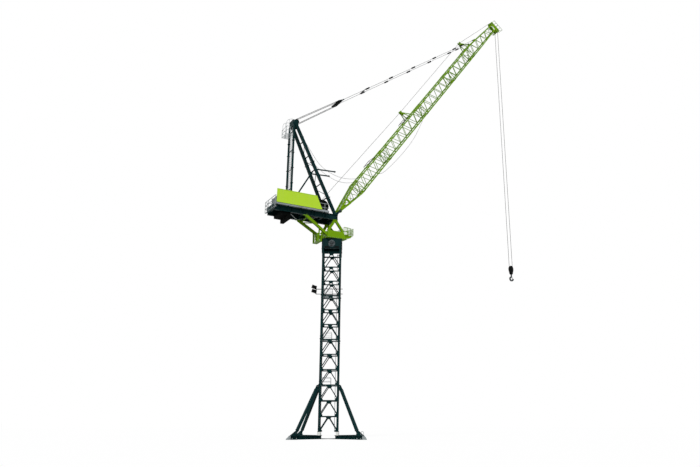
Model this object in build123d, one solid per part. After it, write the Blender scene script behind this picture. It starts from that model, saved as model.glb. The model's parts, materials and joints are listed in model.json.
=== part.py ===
from build123d import *
import os
from math import atan2, cos, degrees, hypot, radians, sin, sqrt, tan

# A luffing-jib tower crane on a strutted cross base, as a 1:2 scale model in millimetres.
# Origin on the ground under the mast axis, +Z up, the jib lies over +X at rest.

# Base: four I-beams on the mast's diagonals, tied at the middle, with anchored feet
BEAM_START = 650.0
BEAM_END = 3060.0
BEAM_HEIGHT = 225.0
BEAM_WIDTH = 150.0
BEAM_FLANGE = 30.0
BEAM_WEB = 24.0
TIE_WIDTH = 200.0
FOOT_RADIUS = 2840.0
FOOT_SIZE = 420.0
ANCHOR_CIRCLE = 440.0
ANCHOR_HOLE = 18.0
ANCHORS = 4

# Struts: square tubes that fork round a gusset at each end
STRUT_WIDTH = 150.0
STRUT_FOOT_RADIUS = 2620.0
STRUT_PIN_RISE = 115.0
STRUT_TOP_RADIUS = 1000.0
STRUT_TOP_Z = 3130.0
STRUT_GUSSET = 40.0
STRUT_FORK = 20.0
STRUT_FORK_REACH = 210.0
STRUT_FORK_TIP = 70.0
GUSSET_FOOT = 170.0
GUSSET_DEPTH = 190.0

# Mast: square sections, each of three panels braced by an inverted V
MAST_TURN = -28.5
MAST_WIDTH = 1245.0
MAST_CHORD = 110.0
MAST_BASE_Z = 425.0
PANEL_HEIGHT = 950.0
PANELS_PER_SECTION = 3
SECTIONS = 4
MAST_RAIL = 70.0
MAST_BRACE = 56.0
MAST_LACING = 50.0
MAST_GUSSET = 190.0
MAST_GUSSET_PLATE = 18.0
SHOE_WIDTH = 180.0
LADDER_X = 380.0
LADDER_WIDTH = 220.0
LADDER_STILE = 28.0
LADDER_RUNG = 16.0
LADDER_PITCH = 150.0
PLATFORM_PLATE = 20.0
PLATFORM_DROP = 25.0
PLATFORM_EASE = 5.0
HATCH_LENGTH = 230.0
HATCH_WIDTH = 420.0
FLOOD_Z = 9350.0
FLOOD_REACH = 330.0
FLOOD_ARM = 40.0
FLOOD_WIDTH = 190.0
FLOOD_HEIGHT = 150.0
FLOOD_DEPTH = 120.0
FLOOD_SPACING = 210.0

# Slewing support and ring
SUPPORT_WIDTH = 1300.0
SUPPORT_WALL = 40.0
SUPPORT_POST = 140.0
SUPPORT_POST_HEIGHT = 270.0
SUPPORT_BOX_HEIGHT = 695.0
SUPPORT_DISC = 300.0
SUPPORT_DISC_PLATE = 24.0
SUPPORT_SLOT_LENGTH = 210.0
SUPPORT_SLOT_HEIGHT = 60.0
RING_OUTER = 620.0
RING_INNER = 500.0
RING_HEIGHT = 40.0
BEARING_GAP = 0.5

# Slewing platform and the turret legs under the deck
SLEW_BASE = 1350.0
SLEW_TOP = 1150.0
SLEW_HEIGHT = 530.0
TURRET_LEG = 110.0
TURRET_APEX_X = -130.0
TURRET_FRONT_X = 560.0
TURRET_REAR_X = -550.0
TURRET_FOOT_Y = 490.0
PROP_SIZE = 120.0
PROP_FOOT_X = -520.0
PROP_FOOT_Y = 470.0
PROP_FOOT_DROP = 370.0
PROP_TOP_X = -2290.0
PROP_BRACE = 60.0
PROP_TIE_SHARES = ((0.93, 0.86), (0.6, 0.86))
NOSE_START = 560.0
NOSE_REACH = 1400.0
NOSE_WIDTH = 900.0
NOSE_FLOOR_DROP = 130.0
NOSE_PLATE = 30.0
NOSE_BRACKET = 40.0
NOSE_BRACKET_DEPTH = 230.0
RAIL = 26.0
RAIL_HEIGHT = 550.0
RAIL_SHARES = (0.5, 1.0)
LANDING_X = -1280.0
LANDING_LENGTH = 320.0
LANDING_WIDTH = 760.0
LANDING_Z = 12550.0
LANDING_PLATE = 30.0
LANDING_POST = 45.0

# Deck: two I-girders, cross beams, floor, side walkways and their railings
GIRDER_Y = 640.0
GIRDER_WIDTH = 160.0
GIRDER_HEIGHT = 375.0
GIRDER_FLANGE = 34.0
GIRDER_WEB = 28.0
GIRDER_REAR = -4450.0
GIRDER_FRONT = 60.0
DECK_BOTTOM = 14100.0
CROSS_BEAM = 120.0
CROSS_BEAM_HEIGHT = 200.0
DECK_PLATE = 20.0
DECK_FLOOR_FRONT = -210.0
FRONT_BEAM_LENGTH = 230.0
WALKWAY_WIDTH = 190.0
WALKWAY_FRONT = -700.0
WALKWAY_BRACKET = 26.0
POST_PITCH = 850.0
POST_HEIGHT = 560.0
PANEL_PLATE = 15.0
PANEL_RISE = 110.0
PANEL_HEIGHT_SIDE = 885.0
PANEL_REAR = -4440.0
PANEL_FRONT = -1248.0
PANEL_RAKE = 392.0
BALCONY_REACH = 110.0
BALCONY_DROP = 190.0
BALCONY_RAIL_SHARES = (0.34, 0.67, 1.0)
BALCONY_POST_SHARES = (-0.33, 0.33)

# Counterweight slabs hung under the rear of the deck
SLAB_THICK = 225.0
SLAB_GAP = 6.0
SLAB_WIDTH = 1260.0
SLAB_REAR = -4020.0
SLAB_SHORT = 200.0
SLAB_LONG = 450.0
SLABS_SHORT = 2
SLABS_LONG = 1

# Winches
DRUM_RADIUS = 280.0
DRUM_FLANGE = 430.0
DRUM_WIDTH = 600.0
DRUM_FLANGE_PLATE = 30.0
HOIST_X = -880.0
LUFF_WINCH_X = -2520.0
WINCH_AXIS_RISE = 620.0
WINCH_FRAME = 40.0
WINCH_FOOT = 860.0
WINCH_CROWN = 420.0
WINCH_SIDE_GAP = 20.0
MOTOR_RADIUS = 130.0
MOTOR_LENGTH = 250.0

# Jib foot pivot
PIVOT_X = 365.0
PIVOT_Z = 14900.0
PIN_RADIUS = 60.0
PIN_CLEARANCE = 0.5
EYE_RADIUS = 130.0
CHEEK = 30.0
CHEEK_GAP = 6.0
CHEEK_RADIUS = 90.0

# A-frame
AFRAME_LEG = 180.0
AFRAME_FOOT_X = -134.0
AFRAME_FOOT_Y = 630.0
HEAD_X = -3110.0
HEAD_Z = 20700.0
HEAD_LEG_Y = 300.0
HEAD_LENGTH = 400.0
HEAD_HEIGHT = 500.0
HEAD_WIDTH = 620.0
HEAD_YOKE = 120.0
HEAD_SHEAVE = 150.0
HEAD_SHEAVE_WIDTH = 60.0
HEAD_SHEAVE_Y = 160.0
REAR_LEG = 110.0
REAR_LEG_X = -3285.0
REAR_LEG_Y = 400.0
REAR_TIE_PITCH = 1400.0
REAR_TIE = 40.0
BRACE_SIZE = 90.0
BRACE_TIE = 2
BRACE_FOOT_X = -3350.0
FRONT_TIE = 50.0
FRONT_TIE_PITCH = 950.0
FRONT_TIES = 5
FRONT_TIE_DROP = 1250.0
FRONT_TIE_INSET = 130.0
FRONT_TIE_THIN = 36.0
BACKSTOP_DROP = 3150.0
BACKSTOP_RISE = 100.0
BACKSTOP_TIP_X = -160.0
BACKSTOP_SIZE = 70.0
CROW_DROP = 960.0
CROW_REACH = 545.0
CROW_WIDTH = 900.0
CROW_PLATE = 20.0

# Jib: four square chords, W lacing on all four sides, in its own frame along the boom
JIB_ELEVATION = 53.3
JIB_DEPTH = 850.0
JIB_WIDTH = 800.0
JIB_CHORD = 80.0
JIB_LACING = 30.0
JIB_LACING_PITCH = 860.0
JIB_FOOT_U = 60.0
JIB_FOOT_W = 45.0
JIB_ROOT_U = 2500.0
JIB_LOW_ROOT_U = 2300.0
JIB_WEB_START = 700.0
JIB_FRAME_U = 1050.0
JIB_FRAME = 60.0
JIB_PLAN_U = 21800.0
JIB_KINK_U = 20900.0
JIB_END_TOP_W = 65.0
TIP_U = 25050.0
TIP_LENGTH = 200.0
TIP_TOP_W = 260.0
TIP_LOW_W = -800.0
TIP_PLATE = 40.0
TIP_HALF_WIDTH = 170.0
TIP_ARM = 60.0
TIP_SHEAVE = 150.0
TIP_SHEAVE_WIDTH = 60.0
POST_LOW_U = 10450.0
POST_HIGH_U = 20500.0
POST_LEAN = 110.0
POST_STAY = 300.0
POST_HEAD = 160.0
POST_CHEEK = 20.0
ROPE_POST_RISE = 720.0
ROPE_POST = 50.0
ROLLER_RADIUS = 45.0
LUG_RISE = 160.0
LUG_PLATE = 40.0
LUG_LENGTH = 320.0
LUG_U = 21630.0
LUG_PIN_RISE = 110.0

# Luffing ropes, block and pendant bars
LUFF_ROPE_LENGTH = 3900.0
BLOCK_LENGTH = 640.0
BLOCK_HEIGHT = 230.0
BLOCK_PLATE = 24.0
BLOCK_SHEAVE = 105.0
PENDANT_BAR = 22.0
PENDANT_LINK_LENGTH = 330.0
PENDANT_LINK_HEIGHT = 75.0
PENDANT_LINK_WIDTH = 40.0
PENDANT_PITCH = 2500.0
ROPE = 18.0
ROPE_EASE = 0.3
LUFF_ROPE_INNER = 130.0
LUFF_ROPE_OUTER = 190.0

# Slack cables: two from the A-frame to the jib foot, one hanging under the jib
CABLE = 20.0
CABLE_ARC_SHARE = 0.45
CLAMP = 60.0
CLAMP_LIFT = 30.0
CABLE_ROUTES = (
    (
        (-2518, -354, 19743), (-2452, -361, 19608), (-2335, -366, 19385), (-2190, -371, 19165),
        (-2030, -375, 18940), (-1860, -378, 18715), (-1690, -380, 18480), (-1500, -380, 18245),
        (-1290, -380, 18030), (-1050, -380, 17840), (-790, -380, 17685), (-520, -380, 17570),
        (-240, -382, 17475), (50, -385, 17405), (340, -390, 17358), (640, -394, 17342),
        (930, -397, 17360), (1210, -399, 17405), (1450, -400, 17462), (1610, -400, 17512),
        (1719, -400, 17545), (1791, -400, 17641),
    ),
    (
        (-1710, -415, 18053), (-1644, -408, 17918), (-1500, -400, 17778), (-1290, -392, 17640),
        (-1060, -386, 17500), (-820, -384, 17368), (-560, -384, 17245), (-290, -386, 17135),
        (0, -390, 17058), (290, -394, 17018), (580, -397, 17012), (860, -399, 17045),
        (1110, -400, 17102), (1310, -400, 17165), (1480, -400, 17224), (1553, -400, 17320),
    ),
)
SLACK_ROUTE = (
    (4600, -495), (4632, -540), (4700, -590), (4830, -640), (5000, -678), (5200, -712),
    (5420, -742), (5660, -770), (5910, -795), (6205, -820), (6500, -843), (6795, -862),
    (7090, -878), (7385, -889), (7680, -896), (7975, -898), (8270, -895), (8565, -886),
    (8855, -870), (9140, -845), (9420, -812), (9690, -770), (9950, -725), (10200, -676),
    (10440, -627), (10610, -596), (10730, -577), (10840, -560), (10930, -535), (10975, -495),
)

# Falls, hook block and hook
BLOCK_TOP_Z = 12990.0
HOOK_BLOCK_WIDTH = 380.0
HOOK_BLOCK_DEPTH = 160.0
HOOK_BLOCK_HEIGHT = 680.0
HOOK_SHEAVE_WIDTH = 60.0
HOOK_PLATE = 36.0
HOOK_NECK = 170.0
HOOK_NECK_RADIUS = 55.0
HOOK_OUTER = 200.0
HOOK_INNER = 100.0
HOOK_THICK = 90.0
SWIVEL_GAP = 0.5

# Worked out from the driving sizes
MAST_TOP = MAST_BASE_Z + SECTIONS * PANELS_PER_SECTION * PANEL_HEIGHT
CHORD_CENTRE = MAST_WIDTH / 2 - MAST_CHORD / 2
CHORD_INNER = MAST_WIDTH / 2 - MAST_CHORD
LACING_INNER = CHORD_CENTRE - MAST_LACING / 2
SUPPORT_BOX_Z = MAST_TOP + SUPPORT_POST_HEIGHT
SUPPORT_TOP = SUPPORT_BOX_Z + SUPPORT_BOX_HEIGHT
SLEW_Z = SUPPORT_TOP + RING_HEIGHT + BEARING_GAP
SLEW_TOP_Z = SLEW_Z + SLEW_HEIGHT
DECK_TOP = DECK_BOTTOM + GIRDER_HEIGHT
GIRDER_INNER = GIRDER_Y - GIRDER_WIDTH / 2
GIRDER_OUTER = GIRDER_Y + GIRDER_WIDTH / 2
WALKWAY_OUTER = GIRDER_OUTER + WALKWAY_WIDTH
JIB_PLANE = Plane(
    origin=(PIVOT_X, 0, PIVOT_Z),
    x_dir=(cos(radians(JIB_ELEVATION)), 0, sin(radians(JIB_ELEVATION))),
    z_dir=(0, -1, 0),
)
ROPE_SEAT = ROPE / 2 + ROPE_EASE
JIB_END_U = TIP_U - TIP_LENGTH / 2
CROW_FLOOR_Z = HEAD_Z - CROW_DROP
BACKSTOP_Z = HEAD_Z - BACKSTOP_DROP
PENDANT_Y = JIB_WIDTH / 2 - LUG_PLATE / 2 - PENDANT_LINK_WIDTH / 2
BLOCK_SIDE_Y = PENDANT_Y - PENDANT_LINK_WIDTH / 2 - BLOCK_PLATE / 2
SIDES = (("right", -1), ("left", 1))
nodes = {}


def bar(start, end, across, deep):
    """A straight rectangular bar between two points; across is its level width."""
    start, end = Vector(start), Vector(end)
    run = end - start
    level = Vector(-run.Y, run.X, 0)
    if level.length < 1e-6 * run.length:
        level = Vector(0, 1, 0)
    place = Plane(origin=start, x_dir=level, z_dir=run)
    return place * Box(across, deep, run.length, align=(Align.CENTER, Align.CENTER, Align.MIN))


def band(points, width):
    """The outline of a band of even width along a line of points, with mitred corners."""
    normals = []
    for (ax, ay), (bx, by) in zip(points, points[1:]):
        run = hypot(bx - ax, by - ay)
        normals.append((-(by - ay) / run, (bx - ax) / run))
    upper, lower = [], []
    for i, (x, y) in enumerate(points):
        before = normals[max(i - 1, 0)]
        after = normals[min(i, len(normals) - 1)]
        mx, my = before[0] + after[0], before[1] + after[1]
        reach = width / (mx * mx + my * my)
        upper.append((x + mx * reach, y + my * reach))
        lower.append((x - mx * reach, y - my * reach))
    return upper + lower[::-1]


def plate(plane, points, thickness):
    """A flat plate of the given outline, half its thickness to each side of the plane."""
    face = make_face(Polyline(*points, close=True))
    return extrude(plane * face, amount=thickness / 2, both=True)


def upright(y):
    """The plane across the crane at y, with X and Z as its own axes."""
    return Plane(origin=(0, y, 0), x_dir=(1, 0, 0), z_dir=(0, -1, 0))


def disc(plane, centre, radius, thickness):
    """A round plate about a point of the plane, half its thickness to each side."""
    return extrude(plane * Pos(*centre) * Circle(radius), amount=thickness / 2, both=True)


def prism(plane, centre, radius, sides, thickness):
    """A plate with a many-sided rim about a point of the plane, half its thickness to each side."""
    return extrude(plane * Pos(*centre) * RegularPolygon(radius, sides), amount=thickness / 2, both=True)


def i_section(width, height, flange, web):
    """The outline of an I-beam standing on zero."""
    return [
        (-width / 2, 0), (width / 2, 0), (width / 2, flange), (web / 2, flange),
        (web / 2, height - flange), (width / 2, height - flange), (width / 2, height),
        (-width / 2, height), (-width / 2, height - flange), (-web / 2, height - flange),
        (-web / 2, flange), (-width / 2, flange),
    ]


def i_beam(start, end, y, bottom, width, height, flange, web):
    """A level I-beam along X."""
    end_plane = Plane(origin=(start, y, bottom), x_dir=(0, 1, 0), z_dir=(1, 0, 0))
    face = make_face(Polyline(*i_section(width, height, flange, web), close=True))
    return extrude(end_plane * face, amount=end - start)


def block(x_range, y_range, z_range):
    """A box between two limits on each axis."""
    sizes = [high - low for low, high in (x_range, y_range, z_range)]
    middles = [(high + low) / 2 for low, high in (x_range, y_range, z_range)]
    return Pos(*middles) * Box(*sizes)


def fused(pieces):
    """One body from many pieces that meet."""
    first, *rest = pieces
    return first.fuse(*rest)


def ladder(height, width, pitch):
    """A ladder in the YZ plane from zero up: two stiles and square rungs."""
    stile_y = width / 2 - LADDER_STILE / 2
    pieces = [
        Pos(0, y, height / 2) * Box(LADDER_STILE, LADDER_STILE, height)
        for y in (-stile_y, stile_y)
    ]
    for step in range(1, int(height / pitch) + 1):
        rung_z = step * pitch - pitch / 2
        pieces.append(Pos(0, 0, rung_z) * Box(LADDER_RUNG, width - LADDER_STILE, LADDER_RUNG))
    return fused(pieces)


def jib_point(u, w):
    """X and Z of a point given along and across the jib."""
    rise = radians(JIB_ELEVATION)
    return (PIVOT_X + u * cos(rise) - w * sin(rise), PIVOT_Z + u * sin(rise) + w * cos(rise))


def jib_point_at(u, w):
    """A point on the jib's middle plane."""
    x, z = jib_point(u, w)
    return (x, 0, z)


def jib_side_plane(y):
    """The plane along the jib at y, with u and w as its own axes."""
    return Plane(origin=(PIVOT_X, y, PIVOT_Z), x_dir=JIB_PLANE.x_dir, z_dir=(0, -1, 0))


def rope(start, end, diameter=ROPE):
    """A taut rope as a six-sided bar."""
    start, end = Vector(start), Vector(end)
    run = end - start
    place = Plane(origin=start, z_dir=run)
    return extrude(place * RegularPolygon(diameter / 2, 6), amount=run.length)


def slack_points():
    """The route of the cable under the jib, below its right lower chord."""
    return [(jib_point(u, w)[0], -JIB_WIDTH / 2, jib_point(u, w)[1]) for u, w in SLACK_ROUTE]


def clamp(end, inner):
    """A clamp block that faces the end of a cable coming from the inner point."""
    place = Plane(origin=end, x_dir=(0, 1, 0), z_dir=Vector(end) - Vector(inner))
    return place * Box(CLAMP, 2 * CLAMP_LIFT, CLAMP, align=(Align.CENTER, Align.CENTER, Align.MIN))


turn_mast = Rot(0, 0, MAST_TURN)


def corner_turn(k):
    """Turns a piece made along +X onto the mast's k-th diagonal."""
    return Rot(0, 0, MAST_TURN + 45 + 90 * k)


# Cross base
def base_beam():
    outline = i_section(BEAM_WIDTH, BEAM_HEIGHT, BEAM_FLANGE, BEAM_WEB)
    end_plane = Plane(origin=(BEAM_START, 0, 0), x_dir=(0, 1, 0), z_dir=(1, 0, 0))
    beam = extrude(end_plane * make_face(Polyline(*outline, close=True)), amount=BEAM_END - BEAM_START)
    foot = Pos(FOOT_RADIUS, 0, BEAM_FLANGE / 2) * Box(FOOT_SIZE, FOOT_SIZE, BEAM_FLANGE)
    holes = PolarLocations(ANCHOR_CIRCLE / 2, ANCHORS, start_angle=45)
    for place in holes:
        foot -= Pos(FOOT_RADIUS, 0, BEAM_FLANGE / 2) * place * Cylinder(ANCHOR_HOLE, BEAM_FLANGE)
    pin_z = BEAM_HEIGHT + STRUT_PIN_RISE
    ear = [
        (STRUT_FOOT_RADIUS - GUSSET_FOOT, BEAM_HEIGHT), (STRUT_FOOT_RADIUS + GUSSET_FOOT, BEAM_HEIGHT),
        (STRUT_FOOT_RADIUS + STRUT_FORK_TIP, pin_z + STRUT_FORK_TIP),
        (STRUT_FOOT_RADIUS - STRUT_FORK_TIP, pin_z + STRUT_FORK_TIP),
    ]
    return fused([beam, foot, plate(upright(0), ear, STRUT_GUSSET)])


def base_strut():
    foot = Vector(STRUT_FOOT_RADIUS, 0, BEAM_HEIGHT + STRUT_PIN_RISE)
    top = Vector(STRUT_TOP_RADIUS, 0, STRUT_TOP_Z)
    along = (top - foot).normalized()
    tube = bar(foot + along * STRUT_FORK_REACH, top - along * STRUT_FORK_REACH, STRUT_WIDTH, STRUT_WIDTH)
    pieces = [tube]
    for end, way in ((foot, 1), (top, -1)):
        for side in (-1, 1):
            shift = Vector(0, side * (STRUT_GUSSET + STRUT_FORK) / 2, 0)
            tip = end - along * (way * STRUT_FORK_TIP) + shift
            pieces.append(bar(tip, end + along * (way * STRUT_FORK_REACH) + shift, STRUT_FORK, STRUT_WIDTH))
    return fused(pieces)


def mast_chord(x, y):
    return Pos(x, y, (MAST_BASE_Z + MAST_TOP) / 2) * Box(MAST_CHORD, MAST_CHORD, MAST_TOP - MAST_BASE_Z)


def strut_bracket():
    """A gusset on the mast's corner, notched to sit on both faces of the chord."""
    corner = CHORD_CENTRE * sqrt(2)
    outer = STRUT_TOP_RADIUS + STRUT_FORK_TIP
    outline = [
        (corner, STRUT_TOP_Z - GUSSET_DEPTH), (outer, STRUT_TOP_Z - STRUT_FORK_TIP),
        (outer, STRUT_TOP_Z + STRUT_FORK_TIP), (corner, STRUT_TOP_Z + GUSSET_DEPTH),
    ]
    return plate(upright(0), outline, STRUT_GUSSET) - Rot(0, 0, -45) * mast_chord(CHORD_CENTRE, CHORD_CENTRE)


def base():
    tie = Box(2 * BEAM_START, TIE_WIDTH, BEAM_FLANGE) + Box(TIE_WIDTH, 2 * BEAM_START, BEAM_FLANGE)
    nodes["base_tie_plate"] = corner_turn(0) * Pos(0, 0, BEAM_FLANGE / 2) * tie
    corners = range(4)
    nodes["base_beams"] = Compound([corner_turn(k) * base_beam() for k in corners])
    nodes["base_struts"] = Compound([corner_turn(k) * base_strut() for k in corners])
    nodes["strut_brackets"] = Compound([corner_turn(k) * strut_bracket() for k in corners])
    shoe = Pos(CHORD_CENTRE, CHORD_CENTRE, (BEAM_HEIGHT + MAST_BASE_Z) / 2)
    shoe = shoe * Box(SHOE_WIDTH, SHOE_WIDTH, MAST_BASE_Z - BEAM_HEIGHT)
    nodes["mast_shoes"] = Compound([turn_mast * Rot(0, 0, 90 * k) * shoe for k in corners])


# Mast
def mast_lacing(y):
    """Rails, inverted Vs and gussets of one face, from chord centre to chord centre."""
    plane = upright(y)
    pieces = []
    for panel in range(SECTIONS * PANELS_PER_SECTION):
        low = MAST_BASE_Z + panel * PANEL_HEIGHT
        high = low + PANEL_HEIGHT
        middle = high - MAST_RAIL / 2
        rail = band([(-CHORD_CENTRE, middle), (CHORD_CENTRE, middle)], MAST_RAIL)
        foot = low + MAST_RAIL / 2
        vee = band([(-CHORD_CENTRE, foot), (0, middle), (CHORD_CENTRE, foot)], MAST_BRACE)
        crown = [(-MAST_GUSSET, high), (MAST_GUSSET, high), (MAST_GUSSET / 2, high - MAST_GUSSET)]
        crown.append((-MAST_GUSSET / 2, high - MAST_GUSSET))
        pieces += [plate(plane, rail, MAST_LACING), plate(plane, vee, MAST_LACING)]
        pieces.append(plate(plane, crown, MAST_GUSSET_PLATE))
        for side in (-1, 1):
            ear = [
                (side * CHORD_CENTRE, low), (side * (CHORD_INNER - MAST_GUSSET / 2), low),
                (side * (CHORD_INNER - MAST_GUSSET / 2), low + MAST_GUSSET / 2),
                (side * CHORD_CENTRE, low + MAST_GUSSET),
            ]
            pieces.append(plate(plane, ear, MAST_GUSSET_PLATE))
    return pieces


def mast():
    slab = block((-CHORD_INNER, CHORD_INNER), (-MAST_WIDTH, MAST_WIDTH), (MAST_BASE_Z, MAST_TOP))
    face = fused(mast_lacing(0)) & block(
        (-CHORD_CENTRE, CHORD_CENTRE), (-MAST_WIDTH, MAST_WIDTH), (MAST_BASE_Z, MAST_TOP))
    inner = face & slab
    for name, side in (("near", -1), ("far", 1)):
        pieces = [Pos(0, side * CHORD_CENTRE, 0) * face]
        pieces += [mast_chord(x, side * CHORD_CENTRE) for x in (-CHORD_CENTRE, CHORD_CENTRE)]
        nodes[f"mast_side_{name}"] = turn_mast * fused(pieces)
    for name, side in (("front", 1), ("rear", -1)):
        nodes[f"mast_side_{name}"] = turn_mast * Rot(0, 0, 90) * Pos(0, -side * CHORD_CENTRE, 0) * inner

    height = MAST_TOP - MAST_BASE_Z
    pieces = [Pos(LADDER_X, 0, MAST_BASE_Z) * ladder(height, LADDER_WIDTH, LADDER_PITCH)]
    floors = []
    for section in range(1, SECTIONS + 1):
        top = MAST_BASE_Z + section * PANELS_PER_SECTION * PANEL_HEIGHT
        stile_y = LADDER_WIDTH / 2 - LADDER_STILE / 2
        for y in (-stile_y, stile_y):
            arm_z = top - MAST_RAIL / 2
            pieces.append(bar((LADDER_X, y, arm_z), (LACING_INNER, y, arm_z), LADDER_STILE, LADDER_STILE))
        if section < SECTIONS:
            floor_y = CHORD_INNER - PLATFORM_EASE
            floor = block((-LACING_INNER, LACING_INNER), (-floor_y, floor_y),
                          (top - PLATFORM_DROP - PLATFORM_PLATE, top - PLATFORM_DROP))
            hatch_x = LADDER_X - LADDER_STILE
            hatch = block((hatch_x - HATCH_LENGTH, LACING_INNER), (-HATCH_WIDTH / 2, HATCH_WIDTH / 2),
                          (0, MAST_TOP))
            floors.append(turn_mast * (floor - hatch))
    nodes["mast_ladder"] = turn_mast * fused(pieces)
    nodes["mast_rest_platforms"] = Compound(floors)

    arm_end = -MAST_WIDTH / 2 - FLOOD_REACH
    pieces = [
        bar((-MAST_WIDTH / 2, -CHORD_CENTRE, FLOOD_Z), (arm_end, -CHORD_CENTRE, FLOOD_Z),
            FLOOD_ARM, FLOOD_ARM),
        block((arm_end - FLOOD_ARM, arm_end), (-CHORD_CENTRE - FLOOD_ARM / 2, -CHORD_CENTRE + FLOOD_ARM / 2),
              (FLOOD_Z - FLOOD_SPACING, FLOOD_Z + FLOOD_SPACING)),
    ]
    for shift in (-1, 1):
        lamp_z = FLOOD_Z + shift * FLOOD_SPACING / 2
        pieces.append(Pos(arm_end - FLOOD_ARM - FLOOD_WIDTH / 2, -CHORD_CENTRE, lamp_z)
                      * Rot(0, 20, 0) * Box(FLOOD_WIDTH + FLOOD_ARM, FLOOD_DEPTH, FLOOD_HEIGHT))
    nodes["mast_floodlights"] = turn_mast * fused(pieces)


# Slewing support and ring
def slewing_support():
    half = SUPPORT_WIDTH / 2
    walls = block((-half, half), (-half, half), (SUPPORT_BOX_Z, SUPPORT_TOP))
    inner = half - SUPPORT_WALL
    walls -= block((-inner, inner), (-inner, inner), (SUPPORT_BOX_Z, SUPPORT_TOP - SUPPORT_WALL))
    walls -= Pos(0, 0, SUPPORT_TOP) * Cylinder(RING_INNER, 2 * SUPPORT_WALL)
    middle = (SUPPORT_BOX_Z + SUPPORT_TOP) / 2
    pieces = [walls]
    posts = half - SUPPORT_POST / 2
    for k in range(4):
        spin = Rot(0, 0, 90 * k)
        dish = disc(upright(-half - SUPPORT_DISC_PLATE / 2), (0, middle), SUPPORT_DISC, SUPPORT_DISC_PLATE)
        pieces.append(spin * dish)
        post = Pos(posts, posts, (MAST_TOP + SUPPORT_BOX_Z) / 2)
        pieces.append(spin * post * Box(SUPPORT_POST, SUPPORT_POST, SUPPORT_POST_HEIGHT))
        pieces.append(spin * block((-posts, posts), (-half, SUPPORT_WALL - half),
                                   (MAST_TOP, MAST_TOP + SUPPORT_WALL)))
    support = fused(pieces)
    for k in range(2):
        slot = Pos(0, 0, middle) * Box(SUPPORT_SLOT_LENGTH, 2 * SUPPORT_WIDTH, SUPPORT_SLOT_HEIGHT)
        support -= Rot(0, 0, 90 * k) * slot
    nodes["slewing_support"] = turn_mast * support
    ring = Cylinder(RING_OUTER, RING_HEIGHT) - Cylinder(RING_INNER, RING_HEIGHT)
    nodes["slewing_ring"] = Pos(0, 0, SUPPORT_TOP + RING_HEIGHT / 2) * ring


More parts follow.
